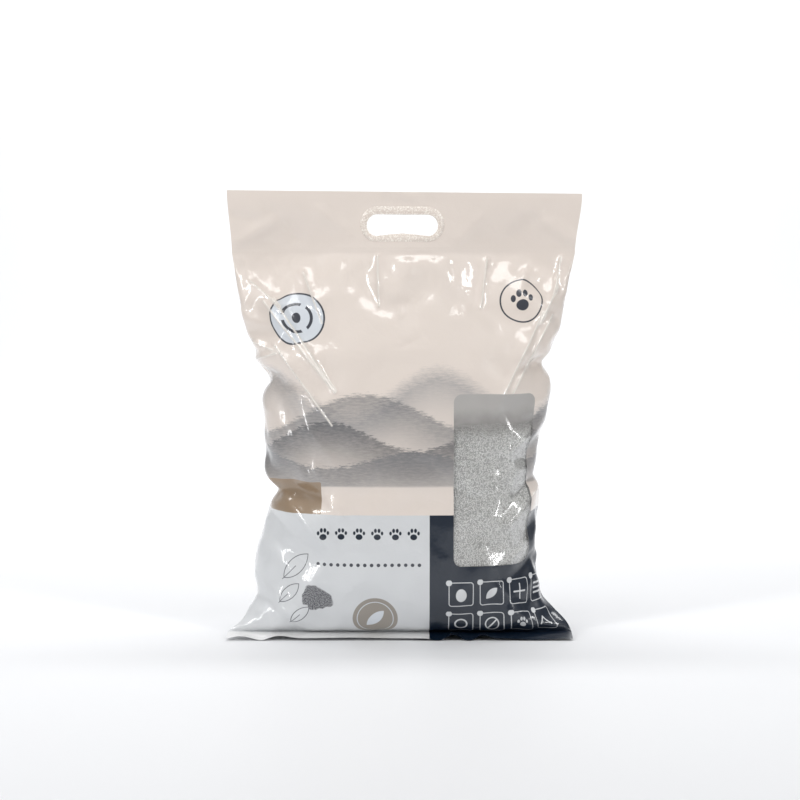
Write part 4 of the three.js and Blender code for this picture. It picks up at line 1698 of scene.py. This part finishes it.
@dataclass
class PrintDesign:
    """The bag's print: plain fields, soft grey hills, and small generic signs."""

    grid: FilmGrid
    shapes: Shapes
    edge: float = 0.5
    wiring: Wiring = field(init=False)
    colour: Hue | Value = field(init=False)
    x: Value = field(init=False)
    y: Value = field(init=False)

    def group(self) -> bpy.types.NodeTree:
        """Build the print as a shader node group with a colour as its output.

        Returns:
            The group.
        """
        wiring, _, out = node_group("bag_print", "Shader", [], ("Color", "Color"))
        self.wiring = wiring
        tube = self.grid.tube
        round_tube, up_tube, _ = wiring.printed_place()
        girth = 2 * tube.width / MM
        across = round_tube * girth - girth / 4
        self.x = wiring.maths("WRAP", across, girth / 2, -girth / 2)
        up = up_tube * (tube.height / MM)
        self.y = up + tube.low / MM
        self.fields()
        self.hills()
        self.tag()
        self.round_signs()
        self.title_rows()
        self.icons()
        self.low_left()
        wiring.feed(out, self.colour)
        return wiring.tree

    def at(self, x: float, z: float) -> tuple[float, float]:
        """Where a point of the filled front lies on the print."""
        across, up = self.grid.pair.flat_place(x * MM, z * MM)
        return across / MM, up / MM

    def lay(self, hue: Hue, distance: Value) -> None:
        """Lay ink inside a shape."""
        self.colour = self.wiring.grouped(self.shapes.ink, self.colour, hue, distance, self.edge)

    def ring(self, distance: Value, width: float) -> Value:
        """The outline of a shape."""
        return abs(distance) - width / 2

    def shape(self, group: bpy.types.NodeTree, *sizes: float) -> Value:
        """A shape at its place on the print."""
        return self.wiring.grouped(group, self.x, self.y, *sizes)

    def fields(self) -> None:
        """The beige field, the pale blue foot, the navy panel round the right edge, and the fin left of the
        panel painted white as a painted highlight for its upturned face.
        """
        wiring, shapes = self.wiring, self.shapes
        _, band = self.at(0, 141)
        self.colour = Hue.BEIGE
        self.lay(Hue.PALE_BLUE, self.y - band)
        panel_left, _ = self.at(27, 100)
        panel = self.shape(shapes.box, panel_left + 180, band - 300, 180, 300, 0.5)
        self.lay(Hue.NAVY, panel)
        # Painted highlight: the fin left of the navy panel is painted white, where its upturned face catches
        # the light.
        fin_highlight_top = -3.0
        fin = wiring.most(self.y - fin_highlight_top, self.x - panel_left)
        self.lay(Hue.WHITE, fin)

    def hills(self) -> None:
        """Four soft grey hills, one behind another, across the front's middle."""
        wiring = self.wiring
        _, low = self.at(150, 180)
        point = wiring.node("ShaderNodeCombineXYZ", {0: self.x * 0.22, 1: self.y}).outputs[0]
        streak = wiring.noise(point, 0.55, 4.0, 0.7)
        grain = wiring.ranged(streak, 0.3, 0.7, 0.0, 1.0)
        base = low - 5 - self.y
        rows = [
            (96.0, 25.0, 4, 0.4, Hue.HILL_FAR, 20.0),
            (74.0, 22.0, 3, 2.6, Hue.HILL_MIDDLE, 5.0),
            (50.0, 16.0, 4, 4.3, Hue.HILL_NEAR, 2.5),
            (24.0, 9.0, 4, 1.2, Hue.HILL_MIDDLE, 2.0),
        ]
        girth = 2 * self.grid.tube.width / MM
        for height, swell, waves, phase, hue, edge in rows:
            turn = self.x * (2 * math.pi * waves / girth) + phase
            crest = wiring.maths("SINE", turn) * swell
            frayed = wiring.ranged(streak, 0.25, 0.75, -3.5, 3.5)
            over = self.y - (low + height) - (crest + frayed)
            body = wiring.most(over, base)
            fade = wiring.ranged(over, -58.0, 0.0, 0.15, 0.80)
            shade = fade * (grain * 0.35 + 0.65)
            ink = wiring.mixed(shade, self.colour, hue)
            self.colour = wiring.grouped(self.shapes.ink, self.colour, ink, body, edge)

    def tag(self) -> None:
        """The brown tag between the hills and the pale blue foot, at the left."""
        _, low = self.at(0, 141)
        right, top = self.at(-93, 178)
        box = self.shape(self.shapes.box, right - 90, (top + low) / 2, 90, (top - low) / 2, 2.0)
        self.lay(Hue.BROWN, box)

    def round_signs(self) -> None:
        """A badge with three turning arcs high on the left, and a paw in a circle high on the right."""
        wiring, shapes = self.wiring, self.shapes
        x, y = self.at(-121, 357)
        badge = self.shape(shapes.disc, x, y, 31, 31)
        self.lay(Hue.BADGE, badge)
        self.lay(Hue.LINE, self.ring(badge, 2.0))
        arc = self.ring(self.shape(shapes.disc, x, y, 17, 17), 3.4)
        for turn in (1.1, 3.2, 5.3):
            gap = self.shape(shapes.stroke, x, y, x + 26 * math.cos(turn), y + 26 * math.sin(turn), 3.4)
            arc = wiring.most(arc, gap * -1.0)
        self.lay(Hue.LINE, arc)
        self.lay(Hue.LINE, self.shape(shapes.disc, x, y, 5.0, 6.5))
        x, y = self.at(133, 376)
        self.lay(Hue.LINE, self.ring(self.shape(shapes.disc, x, y, 25, 25), 1.8))
        self.lay(Hue.LINE, self.shape(shapes.paw, x, y, 15))

    def title_rows(self) -> None:
        """A row of paws and a row of small dots under the picture."""
        wiring, shapes = self.wiring, self.shapes
        left, up = self.at(-100, 119)
        pitch, paws = 20.0, 6
        middle = left + pitch * paws / 2
        cell = wiring.maths("WRAP", self.x - left, pitch, 0.0)
        paw = wiring.grouped(shapes.paw, cell, self.y, pitch / 2, up, 7.6)
        within = self.shape(shapes.box, middle, up, pitch * paws / 2, 14, 0.0)
        self.lay(Hue.NAVY, wiring.most(paw, within))
        _, low = self.at(-60, 86)
        small = 7.5
        dot_x = wiring.maths("WRAP", self.x - left, small, 0.0)
        dot = wiring.grouped(shapes.disc, dot_x, self.y, small / 2, low, 2.0, 2.0)
        row = self.shape(shapes.box, middle, low, pitch * paws / 2, 5, 0.0)
        self.lay(Hue.LINE, wiring.most(dot, row))

    def icons(self) -> None:
        """Two rows of outlined squares with plain signs, low on the navy panel."""
        wiring, shapes = self.wiring, self.shapes
        left, top = self.at(62, 53)
        pitch, half = 35.0, 13.5
        low = top - pitch - 2
        for row, up in enumerate((top, low)):
            cell = wiring.maths("WRAP", self.x - (left - pitch / 2), pitch, 0.0)
            within = self.shape(shapes.box, left + 1.5 * pitch, up, 2 * pitch, half + 3, 0.0)
            frame_edge = wiring.grouped(shapes.box, cell, self.y, pitch / 2, up, half, half, 3.0)
            corner = wiring.grouped(shapes.disc, cell, self.y, pitch / 2 - half, up + half, 3.4, 3.4)
            drawn = wiring.least(self.ring(frame_edge, 0.9), corner)
            self.lay(Hue.PALE_BLUE, wiring.most(drawn, within))
            for column in range(4):
                self.lay(Hue.PALE_BLUE, self.sign(row * 4 + column, left + column * pitch, up))

    def sign(self, number: int, x: float, y: float) -> Value:
        """One plain sign.

        Args:
            number: which, from 0 to 7.
            x: its middle across in millimetres.
            y: its middle up in millimetres.

        Returns:
            How far places are outside it.
        """
        shapes, least = self.shapes, self.wiring.least
        if number == 0:
            return self.shape(shapes.disc, x, y - 1, 6.0, 7.5)
        if number == 1:
            return self.shape(shapes.lens, x, y, 9.0, 4.2)
        if number == 2:
            level = self.shape(shapes.stroke, x - 8, y, x + 8, y, 0.9)
            return least(level, self.shape(shapes.stroke, x, y - 8, x, y + 8, 0.9))
        if number == 3:
            return least(*(self.shape(shapes.stroke, x - 8, y + k, x + 8, y + k, 1.0) for k in (-5, 0, 5)))
        if number == 4:
            return self.ring(self.shape(shapes.disc, x, y, 6.5, 6.5), 1.8)
        if number == 5:
            circle = self.ring(self.shape(shapes.disc, x, y, 7.5, 7.5), 1.4)
            return least(circle, self.shape(shapes.stroke, x - 5, y - 5, x + 5, y + 5, 0.8))
        if number == 6:
            return self.shape(shapes.paw, x, y, 8.0)
        rise = self.shape(shapes.stroke, x - 8, y - 5, x - 1, y + 5, 0.9)
        return least(rise, self.shape(shapes.stroke, x - 1, y + 5, x + 8, y - 5, 0.9))

    def low_left(self) -> None:
        """Leaves in thin lines, a speckled patch and a brown disc with a leaf, low on the pale blue foot."""
        wiring, shapes = self.wiring, self.shapes
        x, y = self.at(-122, 60)
        for across, up, long in ((0, 22, 20), (-7, -9, 16), (6, -34, 14)):
            middle, stalk = (x + across, y + up), long * 0.8
            leaf = self.shape(shapes.lens, *middle, long, long * 0.42)
            vein = self.shape(shapes.stroke, middle[0] - stalk, middle[1] - stalk, *middle, 0.35)
            self.lay(Hue.LINE, wiring.least(self.ring(leaf, 0.8), vein))
        x, y = self.at(-96, 48)
        point = wiring.node("ShaderNodeCombineXYZ", {0: self.x, 1: self.y}).outputs[0]
        uneven = wiring.ranged(wiring.noise(point, 0.07, 1.0), 0.3, 0.7, -3.0, 3.0)
        patch = self.shape(shapes.disc, x, y, 17, 14) + uneven
        speck = wiring.ranged(wiring.noise(point, 0.9, 2.0), 0.42, 0.58, 0.0, 1.0)
        ink = wiring.mixed(speck, Hue.LINE, Hue.HILL_FAR)
        self.colour = wiring.grouped(shapes.ink, self.colour, ink, patch, 1.0)
        x, y = self.at(-33, 26)
        self.lay(Hue.WARM_GREY, self.shape(shapes.disc, x, y, 25, 25))
        self.lay(Hue.BADGE, self.ring(self.shape(shapes.disc, x, y, 20, 20), 0.9))
        self.lay(Hue.BADGE, self.shape(shapes.lens, x, y, 13.5, 5.8))


def finish_material(name: str) -> tuple[bpy.types.Material, Wiring, bpy.types.Node, bpy.types.Node]:
    """Start a material with a Principled shader.

    Args:
        name: the material's name.

    Returns:
        The material, its wiring, the shader and the output node.
    """
    material = bpy.data.materials.new(name)
    material.use_nodes = True
    material.node_tree.nodes.clear()
    wiring = Wiring(material.node_tree)
    shader = wiring.node("ShaderNodeBsdfPrincipled")
    end = wiring.node("ShaderNodeOutputMaterial", {"Surface": shader.outputs["BSDF"]})
    return material, wiring, shader, end


@dataclass(frozen=True)
class GlossyPrintFinish:
    """Glossy printed film, with fine crinkles, the ribs of the two flat welds, and a painted highlight that
    whitens the print along the front's pinched crests.
    """

    roughness: float = 0.34
    roughness_change: float = 0.08
    coat: float = 0.9
    coat_roughness: float = 0.06
    crinkle: float = 0.35
    least_crest: float = 2.3 * MM
    crest_rise: float = 1.7 * MM
    crest_spread: float = 2.2 * MM
    # How far the print is whitened along the crests: a painted highlight.
    crest_highlight_paint: float = 0.8
    rib_pitch: float = 1.5

    def material(self, design: PrintDesign) -> bpy.types.Material:
        """Build the finish.

        Args:
            design: the print.

        Returns:
            The material.
        """
        material, wiring, shader, _ = finish_material("printed_film")
        place = wiring.place()
        crests = self.crests(wiring, place, design)
        # Painted highlight: the print is mixed towards near white along the crests of the pinched creases.
        painted_crest_highlight = wiring.ranged(crests, 0.45 * self.crest_rise, 0.9 * self.crest_rise, 0.0, self.crest_highlight_paint)
        printed = wiring.mixed(painted_crest_highlight, wiring.grouped(design.group()), Hue.WELD_DOT)
        rougher = self.roughness + self.roughness_change
        roughness = wiring.ranged(wiring.noise(place, 55.0, 2.0), 0.3, 0.7, self.roughness, rougher)
        height = wiring.noise(place, 90.0, 3.0, 0.55) * 0.0009 + self.facets(wiring, place)
        height = height + self.ribs(wiring, design.grid)
        normal = wiring.bump(height, self.crinkle, wiring.bump(crests))
        wiring.fill(shader, {"Base Color": printed, "Roughness": roughness, "Normal": normal})
        coat = {"Coat Weight": self.coat, "Coat Roughness": self.coat_roughness, "Coat Normal": normal}
        wiring.fill(shader, coat)
        return material

    def crests(self, wiring: Wiring, place: object, design: PrintDesign) -> Value:
        """The thin crests of the front's pinched creases, finer than the mesh.

        Args:
            wiring: the material's wiring.
            place: where they are read.
            design: the print, which knows the bag's form and the shapes.

        Returns:
            Their height in metres.
        """
        form = design.grid.pair.form
        x, _, z = wiring.parts(place)
        height = 0.0
        for fold in sharp_creases():
            if fold.rise < self.least_crest:
                continue
            ends = [share * size for end in (fold.start, fold.end) for share, size in zip(end, form.pouch)]
            sizes = (self.crest_rise, self.crest_spread)
            height = height + wiring.grouped(design.shapes.crest, x, z, *ends, *sizes)
        return height * wiring.ranged(wiring.printed_place()[0], 0.49, 0.5, 1.0, 0.0)

    def facets(self, wiring: Wiring, place: object) -> Value:
        """Small flat facets between fine creases.

        Args:
            wiring: the material's wiring.
            place: where they are read.

        Returns:
            Their height in metres.
        """
        warp = wiring.node("ShaderNodeTexNoise", {"Vector": place, "Scale": 26.0}).outputs["Color"]
        swerve = (warp, (0.03, 0.03, 0.03), place)
        moved = wiring.value("ShaderNodeVectorMath", swerve, operation="MULTIPLY_ADD")
        sizes = {"Vector": moved, "Scale": 34.0}
        cells = wiring.node("ShaderNodeTexVoronoi", sizes, feature="DISTANCE_TO_EDGE")
        patchy = wiring.ranged(wiring.noise(place, 14.0, 2.0), 0.42, 0.62, 0.0, 1.0)
        return wiring.least(cells.outputs["Distance"], 0.22) * patchy * 0.0022

    def ribs(self, wiring: Wiring, grid: FilmGrid) -> Value:
        """The ribs that the sealing bars leave across the header's weld and the fin.

        Args:
            wiring: the material's wiring.
            grid: the film's grid.

        Returns:
            Their height in metres.
        """
        up = wiring.printed_place()[1] * (grid.tube.height / MM)
        wave = wiring.maths("SINE", up * (2 * math.pi / self.rib_pitch))
        weld = (grid.pair.pouch_film - grid.tube.low) / MM + grid.weld_band / MM / 2
        off_band = abs(up - weld)
        band = wiring.ranged(off_band, 3.0, 4.2, 1.0, 0.0)
        fin = wiring.ranged(up, 19.0, 21.0, 1.0, 0.0)
        return wave * wiring.most(band, fin) * 0.00016


@dataclass(frozen=True)
class InnerFilmFinish:
    """The film's plain inner side, greyed by dust."""

    roughness: float = 0.5

    def material(self) -> bpy.types.Material:
        """Build the finish.

        Returns:
            The material.
        """
        material, wiring, shader, _ = finish_material("inner_film")
        dust = wiring.ranged(wiring.noise(wiring.place(), 240.0, 4.0), 0.35, 0.65, 0.0, 1.0)
        colour = wiring.mixed(dust, Hue.INSIDE, Hue.WHITE)
        wiring.fill(shader, {"Base Color": colour, "Roughness": self.roughness})
        return material


@dataclass(frozen=True)
class ClearFilmFinish:
    """Clear glossy film that catches the lights, with dust clinging inside it above the granules."""

    roughness: float = 0.11
    least_gloss: float = 0.05
    most_gloss: float = 0.5
    crinkle: float = 0.30
    dust_height: float = 0.256
    dust_fade: float = 0.034
    dust: float = 0.93

    def material(self) -> bpy.types.Material:
        """Build the finish.

        Returns:
            The material.
        """
        material, wiring, shader, end = finish_material("clear_film")
        wiring.fill(shader, {"Base Color": Hue.DUST, "Roughness": 0.5})
        place = wiring.place()
        normal = wiring.bump(wiring.noise(place, 90.0, 3.0) * 0.0011, self.crinkle)
        gloss = wiring.node("ShaderNodeBsdfGlossy", {"Roughness": self.roughness, "Normal": normal})
        weight = wiring.node("ShaderNodeFresnel", {"Normal": normal})
        share = wiring.ranged(weight.outputs[0], 0.03, 0.9, self.least_gloss, self.most_gloss)
        over = wiring.parts(place)[2] + wiring.noise(place, 40.0, 4.0) * 0.016 - (self.dust_height + 0.008)
        dust = wiring.ranged(over, -self.dust_fade, 0.004, 0.0, self.dust)
        bare = wiring.node("ShaderNodeBsdfTransparent")
        seen = wiring.value("ShaderNodeMixShader", (dust, bare.outputs[0], shader.outputs[0]))
        mixed = wiring.value("ShaderNodeMixShader", (share, seen, gloss.outputs[0]))
        wiring.feed(end.inputs["Surface"], mixed)
        return material


@dataclass(frozen=True)
class ClayFinish:
    """Matt pale grey clay, each granule with a tone of its own."""

    roughness: float = 0.9

    def material(self) -> bpy.types.Material:
        """Build the finish.

        Returns:
            The material.
        """
        material, wiring, shader, _ = finish_material("clay_granules")
        tone = Value(wiring, wiring.node("ShaderNodeAttribute", attribute_name="tone").outputs["Fac"])
        grain = wiring.noise(wiring.place(), 900.0, 3.0)
        share = wiring.ranged(tone, 0.02, 0.24, 0.30, 0.88) + (tone + grain) * 0.20
        colour = wiring.mixed(share, Hue.GRAIN_DARK, Hue.GRAIN_LIGHT)
        wiring.fill(shader, {"Base Color": colour, "Roughness": self.roughness})
        return material


@dataclass(frozen=True)
class WeldFinish:
    """The knurled weld, glossy where the film was pressed."""

    roughness: float = 0.26
    coat: float = 0.5
    coat_roughness: float = 0.08

    def material(self) -> bpy.types.Material:
        """Build the finish.

        Returns:
            The material.
        """
        material, wiring, shader, _ = finish_material("knurled_weld")
        share = wiring.ranged(wiring.noise(wiring.place(), 620.0, 2.0), 0.48, 0.60, 0.1, 1.0)
        colour = wiring.mixed(share, Hue.BEIGE, Hue.WELD_DOT)
        wiring.fill(shader, {"Base Color": colour, "Roughness": self.roughness})
        wiring.fill(shader, {"Coat Weight": self.coat, "Coat Roughness": self.coat_roughness})
        return material


@dataclass
class Granules:
    """The loose granules that lie against the clear window, scattered by geometry nodes."""

    grid: FilmGrid
    spacing: float = 1.30 * MM
    smallest: float = 0.55
    largest: float = 1.0
    radius: float = 1.05 * MM
    seed: int = 5
    margin: float = 7 * MM
    top: float = 262 * MM

    def build(self, bed: bpy.types.Object, finish: bpy.types.Material) -> bpy.types.Object:
        """Scatter the granules over the part of the bed behind the window.

        Args:
            bed: the litter's bed.
            finish: the granules' material.

        Returns:
            The piece, in place.
        """
        piece = new_object("litter_granules", bed.data.copy())
        low = (self.grid.window_left - 3 * self.margin, -1.0, self.grid.window_low - self.margin)
        high = (self.grid.window_left + self.grid.window_width + self.margin, 0.0, self.top)
        corners = {"Low corner": low, "High corner": high}
        sizes = {"Smallest": (self.smallest,) * 3, "Largest": (self.largest,) * 3, "Radius": self.radius}
        crowd = {"Spacing": self.spacing, "Density": 3.0 / self.spacing**2}
        apply_nodes(piece, self.scatter(finish), {**corners, **sizes, **crowd})
        return piece

    def scatter(self, finish: bpy.types.Material) -> bpy.types.NodeTree:
        """Geometry nodes that set a granule on each of many spots.

        Args:
            finish: the granules' material.

        Returns:
            The node tree.
        """
        vectors = [(name, "Vector") for name in ("Low corner", "High corner", "Smallest", "Largest")]
        floats = [(name, "Float") for name in ("Spacing", "Density", "Radius")]
        inputs = [("Geometry", "Geometry"), *vectors, *floats]
        wiring, values, out = node_group("granule_scatter", "Geometry", inputs, ("Geometry", "Geometry"))
        bed, low, high, smallest, largest, spacing, density, radius = values
        crowd = {"Mesh": bed, "Distance Min": spacing, "Density Max": density, "Seed": self.seed}
        spots = wiring.node("GeometryNodeDistributePointsOnFaces", crowd, distribute_method="POISSON")
        beyond = {"Geometry": spots.outputs["Points"], "Selection": self.outside(wiring, low, high)}
        kept = wiring.node("GeometryNodeDeleteGeometry", beyond, domain="POINT")
        grain = wiring.node("GeometryNodeMeshIcoSphere", {"Radius": radius, "Subdivisions": 1})
        turns = {1: (2 * math.pi,) * 3}
        turn = wiring.node("FunctionNodeRandomValue", turns, data_type="FLOAT_VECTOR")
        sizes = {0: smallest, 1: largest, "Seed": self.seed + 1}
        size = wiring.node("FunctionNodeRandomValue", sizes, data_type="FLOAT_VECTOR")
        places = {"Points": kept.outputs[0], "Instance": grain.outputs["Mesh"]}
        places |= {"Rotation": turn.outputs[0], "Scale": size.outputs[0]}
        placed = wiring.node("GeometryNodeInstanceOnPoints", places)
        tone = wiring.node("FunctionNodeRandomValue", {"Seed": self.seed + 2}, data_type="FLOAT")
        named = {"Geometry": placed.outputs[0], "Name": "tone"}
        stored = wiring.node("GeometryNodeStoreNamedAttribute", named, data_type="FLOAT", domain="INSTANCE")
        wiring.feed(next(i for i in stored.inputs if i.name == "Value" and i.enabled), tone.outputs[1])
        wiring.put_out(stored.outputs["Geometry"], finish, out)
        return wiring.tree

    @staticmethod
    def outside(wiring: Wiring, low: Value, high: Value) -> Value:
        """Whether a spot lies outside the box between two corners.

        Args:
            wiring: the tree's wiring.
            low: the low corner.
            high: the high corner.

        Returns:
            The answer.
        """
        place = wiring.parts(wiring.node("GeometryNodeInputPosition").outputs[0])
        answers = []
        for corner, operation in ((low, "LESS_THAN"), (high, "GREATER_THAN")):
            settings = {"data_type": "FLOAT", "operation": operation}
            for pair in zip(place, wiring.parts(corner)):
                answers.append(wiring.value("FunctionNodeCompare", pair, **settings))
        return reduce(lambda a, b: wiring.value("FunctionNodeBooleanMath", (a, b), operation="OR"), answers)


@dataclass
class Studio:
    """The pale floor that turns up into a backdrop, the soft lights and the camera."""

    floor_reach: float = 4.0
    backdrop_start: float = 2.2
    backdrop_turn: float = 1.4
    backdrop_height: float = 3.5
    turn_steps: int = 24
    world_light: float = 0.22
    backdrop_light: float = 108.0
    camera_across: float = -0.0051
    camera_distance: float = 2.2
    camera_height: float = 0.45
    aim_height: float = 0.262
    seen_width: float = 0.905

    def build(self) -> None:
        """Make the studio."""
        self.floor()
        self.lights()
        self.camera()

    def floor(self) -> None:
        """Make the floor and its backdrop as one sheet."""
        line = [(-self.floor_reach, 0.0)]
        for step in range(self.turn_steps + 1):
            turn = math.pi / 2 * step / self.turn_steps
            away = self.backdrop_start + self.backdrop_turn * math.sin(turn)
            line.append((away, self.backdrop_turn * (1 - math.cos(turn))))
        line.append((line[-1][0], self.backdrop_height))
        points = [(x, y, z) for y, z in line for x in (-self.floor_reach, self.floor_reach)]
        faces = [(2 * k, 2 * k + 1, 2 * k + 3, 2 * k + 2) for k in range(len(line) - 1)]
        mesh = bpy.data.meshes.new("floor")
        mesh.from_pydata(points, [], faces)
        mesh.polygons.foreach_set("use_smooth", [True] * len(faces))
        material, wiring, shader, _ = finish_material("floor")
        share = wiring.ranged(wiring.noise(wiring.place(), 2.0, 2.0), 0.3, 0.7, 0.0, 0.06)
        wiring.fill(shader, {"Base Color": wiring.mixed(share, Hue.FLOOR, Hue.PALE_BLUE), "Roughness": 0.55})
        mesh.materials.append(material)
        floor = new_object("floor", mesh)

    def lights(self) -> None:
        """Hang soft boxes to both sides, one above, and one that lights the backdrop."""
        world = bpy.data.worlds.new("studio")
        world.use_nodes = True
        background = world.node_tree.nodes["Background"]
        background.inputs["Color"].default_value = (1.0, 1.0, 1.0, 1.0)
        background.inputs["Strength"].default_value = self.world_light
        bpy.context.scene.world = world
        bag, wall = (0, 0, 0.24), (0, 3.2, 0.3)
        self.soft_box("left_box", (-1.35, -1.10, 1.40), (0.26, 0.80), 12.0, bag)
        self.soft_box("low_left_box", (-1.5, -1.3, 0.60), (0.10, 0.9), 5.0, bag)
        self.soft_box("right_box", (1.35, -1.15, 1.45), (0.24, 0.75), 10.0, bag)
        self.soft_box("low_right_box", (1.5, -1.4, 0.60), (0.08, 0.8), 4.0, bag)
        self.soft_box("top_box", (0.0, -0.48, 1.90), (1.0, 0.44), 7.0, bag)
        self.soft_box("backdrop_box", (0.0, 0.9, 2.6), (4.0, 1.0), self.backdrop_light, wall)

    @staticmethod
    def soft_box(
        name: str, place: Sequence[float], size: tuple[float, float], power: float, aim: Sequence[float]
    ) -> None:
        """Hang a soft box.

        Args:
            name: its name.
            place: where it hangs.
            size: its width and height.
            power: its power in watts.
            aim: the point it faces.
        """
        lamp = bpy.data.lights.new(name, "AREA")
        lamp.shape = "RECTANGLE"
        lamp.size, lamp.size_y = size
        lamp.energy = power
        light = new_object(name, lamp)
        light.location = place
        light.rotation_euler = (Vector(aim) - Vector(place)).to_track_quat("-Z", "Y").to_euler()

    def camera(self) -> None:
        """Set the camera up where the photo was taken from."""
        lens = bpy.data.cameras.new("camera")
        lens.sensor_width = 36.0
        lens.lens = lens.sensor_width * self.camera_distance / self.seen_width
        camera = new_object("camera", lens)
        camera.location = (self.camera_across, -self.camera_distance, self.camera_height)
        aim = Vector((self.camera_across, 0.0, self.aim_height)) - camera.location
        camera.rotation_euler = aim.to_track_quat("-Z", "Y").to_euler()
        bpy.context.scene.camera = camera
        bpy.context.scene.view_settings.view_transform = "Standard"


def carry(piece: bpy.types.Object, slot: str, *nodes: str) -> None:
    """Let a piece move with the bag and stand for solids of it.

    Args:
        piece: the piece.
        slot: not used.
        nodes: the solids it replaces.
    """
    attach(piece, "root")
    if nodes:
        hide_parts(*nodes)
    LOG.info("%s: %d faces", piece.name, len(piece.data.polygons))


def main() -> None:
    """Build the bag and its studio."""
    logging.basicConfig(level=logging.INFO, format="%(name)s: %(message)s")
    Studio().build()
    pair = FilmPair(BagForm.from_frame())
    cloth = ClothPass()
    for ply in Ply:
        cloth.wrinkle(pair.sheet(ply), ply, pair.pouch_film)
        LOG.info("%s ply wrinkled", ply.name.lower())
    creasing = Creasing()
    for ply in Ply:
        creasing.scatter(pair.form, pair.sheet(ply), ply, pair.pouch_film)
    creasing.press(pair.form, pair.front)
    creasing.dent(pair)
    pair.settle()
    grid = FilmGrid(pair)
    design = PrintDesign(grid, Shapes())
    film = PrintedFilm(grid).build(GlossyPrintFinish().material(design), InnerFilmFinish().material())
    carry(film, "printed_film", "film_bag")
    carry(WindowFilm(grid).build(ClearFilmFinish().material()), "clear_film", "clear_window")
    carry(HandHoleWeld(grid).build(WeldFinish().material()), "printed_film")
    clay = ClayFinish().material()
    bed = LitterBed(grid).build(clay)
    carry(bed, "clay_granules", "litter")
    carry(Granules(grid).build(bed, clay), "clay_granules")


if __name__ == "__main__":
    main()
